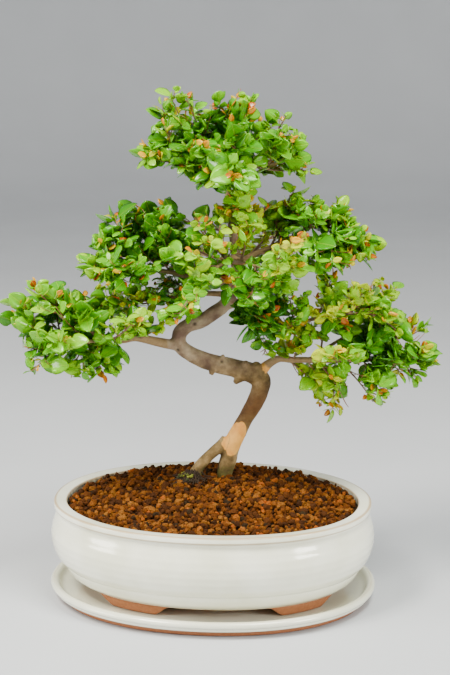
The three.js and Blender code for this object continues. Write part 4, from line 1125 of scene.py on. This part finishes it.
def make_leaves(root, along, face, across, long, wide, waves):
    """Middle line: root + along·u·L - face·curl·L·u²; a corner adds across·a·w and face·(fold·|a|·w)."""
    u, half, thick = STATIONS.T
    a, lift = RING.T
    curl, fold, ripple = waves
    middle = root[:, None] + along[:, None] * (u * long[:, None])[..., None]
    middle -= face[:, None] * (curl[:, None] * long[:, None] * u**2)[..., None]
    reach = a * (half * wide[:, None] / 2)[..., None]
    rise = fold[:, None, None] * np.abs(reach) + lift * thick[:, None]
    rippled = ripple[:, None, None] * (np.abs(a) > 0.9) * np.sin(7 * u[:, None] + 2.0 * a)
    rise = rise + rippled * half[:, None]
    points = middle[:, :, None] + across[:, None, None] * reach[..., None]
    points = points + face[:, None, None] * rise[..., None]
    tip = root + along * long[:, None] - face * (curl * long)[:, None]
    points = np.concatenate([points.reshape(len(root), -1, 3), root[:, None], tip[:, None]], 1)
    faces = [repeat_faces(found, PER_LEAF, len(root)) for found in tube_faces(len(STATIONS), len(RING))]
    across_mm = np.concatenate([reach.reshape(len(root), -1), np.zeros((len(root), 2))], 1)
    along_mm = np.append(np.repeat(u, len(RING)), [0, 1]) * long[:, None]
    return points.reshape(-1, 3), faces, across_mm.ravel(), along_mm.ravel()


# Curl and fold as shares of length and width, and the edge's ripple in millimetres
waves = (draws.uniform(-0.02, 0.2, total), draws.uniform(0.03, 0.28, total), draws.uniform(-0.5, 0.5, total))
print(PER_LEAF, "points to a leaf")

# %% [markdown]
# ## Young and old leaves
#
# New leaves at the outside are yellow green, and old ones inside and the largest ones are deep green. A few
# at the tips flush orange and stay small. A random colour for each leaf would look like confetti, because on
# a tree neighbours are alike. So each leaf has one number, its tone, made of its place, its size, soft
# patches and a little chance.

# %% Tones
# How much younger the leaves of each cloud look, in the order of CLOUDS
CLOUD_TONES = np.array([0.0, 0.0, 0.12, 0.05, 0.14, -0.1])
LARGE_LEAF, YOUNG_LEAF, FLUSHED_TWIGS = 13, 9.5, 0.3
patches = 0.12 * smooth_noise(leaf_root, 38.0, 8)
of_cloud_tone = CLOUD_TONES[cloud_of[owner]]
grown = np.clip(leaf_long - LARGE_LEAF, 0, 8) * 0.022
tone = 0.13 + 0.42 * depth + patches + of_cloud_tone + draws.normal(0, 0.11, total) - grown
tone = np.clip(tone, 0.02, 0.78)
twig_flush = np.repeat(draws.uniform(size=many * TWIGS) < FLUSHED_TWIGS, ON_TWIG)
twig_flush = np.append(twig_flush, np.full(many * ON_STEM, True))
flushed = twig_flush & (depth > 0.45) & (along_share > 0.75)
young_tone = np.where(at_tip, draws.uniform(0.88, 1.0, total), draws.uniform(0.78, 0.92, total))
tone = np.where(flushed, young_tone, tone)
young_size = np.where(flushed, np.minimum(1, YOUNG_LEAF / leaf_long), 1)
leaf_long, leaf_wide = leaf_long * young_size, leaf_wide * young_size * np.where(flushed, 0.85, 1)
print(int(flushed.sum()), "flushed leaves")

# %% [markdown]
# ## Leaf finish
#
# A ramp turns the tone into a colour. The blade is waxy: light glints on it, and a little shines through.
# A clear coat gives the glints, while the body under it mirrors very little, so the green stays full. Rib and
# veins could be cut into the mesh at a great many faces. The mesh carries each point's place on its leaf in
# millimetres instead, and the shader draws them from that.

# %% Leaf colours, rib and veins
VEIN_STEP, VEIN_SLANT = 2.1, 0.9
leaf, place = new_finish("glossy_leaf")
side_mm = abs(shared(place, "across_mm"))
blotch = noise_at(place, 260.0, 2.0)
green = (shared(place, "tone") + (blotch - 0.5) * 0.08).ramp([
    (0.0, paint(38, 104, 0)), (0.25, paint(68, 146, 0)), (0.5, paint(108, 178, 0)),
    (0.72, paint(154, 196, 0)), (0.82, paint(192, 188, 0)), (0.89, paint(212, 152, 0)),
    (0.95, paint(196, 98, 0)), (1.0, paint(158, 54, 10)),
])
rib = side_mm.step(0.42, 0.12)
vein_wave = (shared(place, "along_mm") - side_mm * VEIN_SLANT) * (1 / VEIN_STEP)
vein = abs(vein_wave.math("FRACT", vein_wave) - 0.5).step(0.40, 0.49) * side_mm.step(4.5, 1.0)
set_finish(
    leaf,
    Base_Color=(rib * 0.4 + vein * 0.16).blend(green, paint(170, 200, 40)),
    Roughness=0.22 + blotch * 0.12,
    Specular_IOR_Level=0.05,
    Coat_Weight=0.55,
    Coat_Roughness=0.14,
    Subsurface_Weight=0.06,
    Subsurface_Scale=0.0012,
    Subsurface_Radius=(1.0, 1.0, 0.2),
    Normal=relief(rib * -0.5 - vein * 0.4 + blotch * 0.3, 0.0004),
)
print("leaf nodes:", len(leaf.node_tree.nodes))

# %% [markdown]
# ## Twig bark
#
# Stems are grey brown, and the young twigs on them are reddish. Two materials would do, but one that reads
# how `young` a tube is keeps stems and twigs of a cloud in a single piece.

# %% Twig finish
twig_bark, place = new_finish("young_twig_bark")
twig_grain = noise_at(place, 500.0, 2.0)
old_twig = twig_grain.blend(paint(104, 78, 56), paint(150, 124, 96))
new_twig = twig_grain.blend(paint(128, 66, 38), paint(158, 98, 56))
set_finish(
    twig_bark, Base_Color=shared(place, "young").blend(old_twig, new_twig), Roughness=0.66,
    Normal=relief(twig_grain, 0.0004),
)
print("twig nodes:", len(twig_bark.node_tree.nodes))

# %% [markdown]
# ## Dress the clouds
#
# Each cloud gets one piece of leaves and one of twigs, and both stand for all of its sprays in the packed
# model. A piece for each spray would be easier to move about, but fifty-four pieces are slow to handle, and
# shoots between the sprays belong to none of them.

# %% Put leaves and twigs in place, cloud by cloud
STEM_SIDES, TWIG_SIDES, STEM_YOUNG, TWIG_YOUNG = 7, 5, 0.15, 0.8
stem_t, twig_t = np.linspace(0, 1, 12), np.linspace(0, 1, 6)


def thin_tubes(ends, t, thick, thin, sides):
    """Tubes along arcs, as thick as `thick` at the root and `thin` at the tip."""
    lines, _ = arc(*ends, t)
    return sweep_tubes(lines, np.broadcast_to(thick - (thick - thin) * t, lines.shape[:2]), sides)


leaf_lists = (leaf_root, leaf_along, leaf_face, leaf_across, leaf_long, leaf_wide)
for number, (cloud, cloud_tips) in enumerate(CLOUDS.items()):
    nodes = [f"spray_{cloud}_{k + 1}" for k in range(len(cloud_tips))]
    mine = keep_leaf & (cloud_of[owner] == number)
    points, faces, across_mm, along_mm = make_leaves(
        *[found[mine] for found in leaf_lists], [wave[mine] for wave in waves])
    make_piece(f"leaves_{cloud}", points, faces, leaf, "leaf", nodes, tone=np.repeat(tone[mine], PER_LEAF),
               across_mm=across_mm, along_mm=along_mm)
    of_cloud = cloud_of == number
    stem_ends = [found[of_cloud][:, None] for found in (roots, bends, tips)]
    stem_points, stem_faces = thin_tubes(stem_ends, stem_t, 1.05, 0.4, STEM_SIDES)
    cloud_ends = [found[of_cloud].reshape(-1, 1, 3) for found in (twig_root, twig_bend, twig_tip)]
    twig_points, twig_faces = thin_tubes(cloud_ends, twig_t, 0.5, 0.25, TWIG_SIDES)
    make_piece(
        f"twigs_{cloud}", np.concatenate([stem_points, twig_points]),
        stem_faces + [found + len(stem_points) for found in twig_faces], twig_bark, "bark", nodes,
        young=np.repeat([STEM_YOUNG, TWIG_YOUNG], [len(stem_points), len(twig_points)]),
    )

# %% [markdown]
# ## The drainage mesh
#
# Plastic squares lie over the drainage holes and keep the grit in. Their grid is right in the packed model,
# so they keep that mesh and get a new finish alone, a dark green moulded plastic.

# %% Mesh finish
plastic, place = new_finish("moulded_mesh_plastic")
flow = noise_at(place, 300.0, 2.0)
set_finish(
    plastic, Base_Color=flow.blend(paint(26, 40, 30), paint(40, 58, 44)), Roughness=0.5 + flow * 0.15,
    Normal=relief(flow, 0.0002),
)
for node in ("drain_mesh_1", "drain_mesh_2"):
    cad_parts[node].data.materials.clear()
    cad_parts[node].data.materials.append(plastic)
    print(node, "is", plastic.name)

# %% [markdown]
# ## The floor
#
# The tree stands on a pale round floor that curves up to a wall on all sides. A flat plane would do from the
# front, but gloss mirrors what stands round it, so the glaze needs something pale on every side. The floor
# is a profile turned about the upright axis, and it isn't part of the object.

# %% Pale floor
floor_finish, place = new_finish("pale_floor")
paper = noise_at(place, 6.0, 2.0)
set_finish(floor_finish, Base_Color=paper.blend(paint(188, 191, 198), paint(198, 201, 208)), Roughness=0.8)
ROOM_REACH = np.array([0.2, 1.2, 2.4, 2.7, 2.92, 3.08, 3.17, 3.2, 3.2])[:, None] / MM
ROOM_HEIGHT = np.array([-0.0004, -0.0004, -0.0004, 0.03, 0.12, 0.28, 0.5, 0.9, 2.6])[:, None] / MM
ROOM_SIDES = 96
turn = turns(ROOM_SIDES)
room = np.stack(np.broadcast_arrays(ROOM_REACH * np.cos(turn), ROOM_REACH * np.sin(turn), ROOM_HEIGHT), -1)
floor_points = np.concatenate([room.reshape(-1, 3), [[0, 0, ROOM_HEIGHT[0, 0]]]])
floor_faces = [
    grid_faces(len(room), ROOM_SIDES)[:, ::-1],
    fan_faces(np.arange(ROOM_SIDES), len(floor_points) - 1),
]
floor_mesh = bpy.data.meshes.new("floor")
fill_mesh(floor_mesh, floor_points, floor_faces)
floor_mesh.materials.append(floor_finish)
add_object("floor", floor_mesh)
print("floor of", len(floor_points), "points")

# %% [markdown]
# ## Soft light
#
# A small lamp would give hard shadows, and a lit world alone would give none. Four square lamps lie between,
# as soft boxes in a studio do: the key from the upper front left, a weaker one at each side, and one above
# that brings out the tops of the clouds. A dim warm world fills what they leave dark.

# %% Soft light
def soft_light(name, place, aim, width, watts, color):
    """A square lamp `width` metres across that faces the point `aim`."""
    lamp = bpy.data.lights.new(name, "AREA")
    lamp.size = width
    lamp.energy = watts
    lamp.color = color
    lit = add_object(name, lamp)
    lit.location = place
    lit.rotation_euler = (Vector(aim) - Vector(place)).to_track_quat("-Z", "Y").to_euler()
    print(name, "light:", watts, "watts")


soft_light("key", (-0.7, -0.7, 1.5), (0, 0, 0.15), 0.45, 42, (1, 0.96, 0.84))
soft_light("left", (-1.3, -0.65, 0.56), (0, 0, 0.15), 0.55, 22, (1, 0.97, 0.88))
soft_light("right", (1.25, -0.8, 0.62), (0, 0, 0.15), 0.45, 20, (1, 0.98, 0.9))
soft_light("top", (0.5, -0.5, 1.65), (0, 0, 0.2), 0.6, 33, (1, 1, 0.9))
world = bpy.data.worlds.new("studio")
world.use_nodes = True
world.node_tree.nodes["Background"].inputs["Color"].default_value = (0.9, 0.9, 0.84, 1)
world.node_tree.nodes["Background"].inputs["Strength"].default_value = 0.5
bpy.context.scene.world = world

# %% [markdown]
# ## The camera
#
# A long lens stands 1.3 metres in front, a little higher than the tree's top, and looks down 12.6 degrees. A
# short lens near by would swell the clouds in front. The lens is worked out from the frame, because its
# focal length over the frame's height, both in pixels, holds for every size of picture.

# %% Camera
FOCAL_PIXELS, FRAME_HEIGHT, SENSOR, LOOKING = 1600, 675, 36, (-0.1139, 0.9693, -0.2178)
lens = bpy.data.cameras.new("camera")
lens.sensor_fit = "VERTICAL"
lens.sensor_height = SENSOR
lens.lens = FOCAL_PIXELS / FRAME_HEIGHT * SENSOR
camera = add_object("camera", lens)
camera.location = (FRONT * MM).tolist()
camera.rotation_euler = Vector(LOOKING).to_track_quat("-Z", "Y").to_euler()
bpy.context.scene.camera = camera
print("camera at", [round(value, 3) for value in camera.location])

# %% [markdown]
# ## The last update
#
# Last, the view layer is updated, so that every piece stands where it was put.

# %% Finish
bpy.context.view_layer.update()
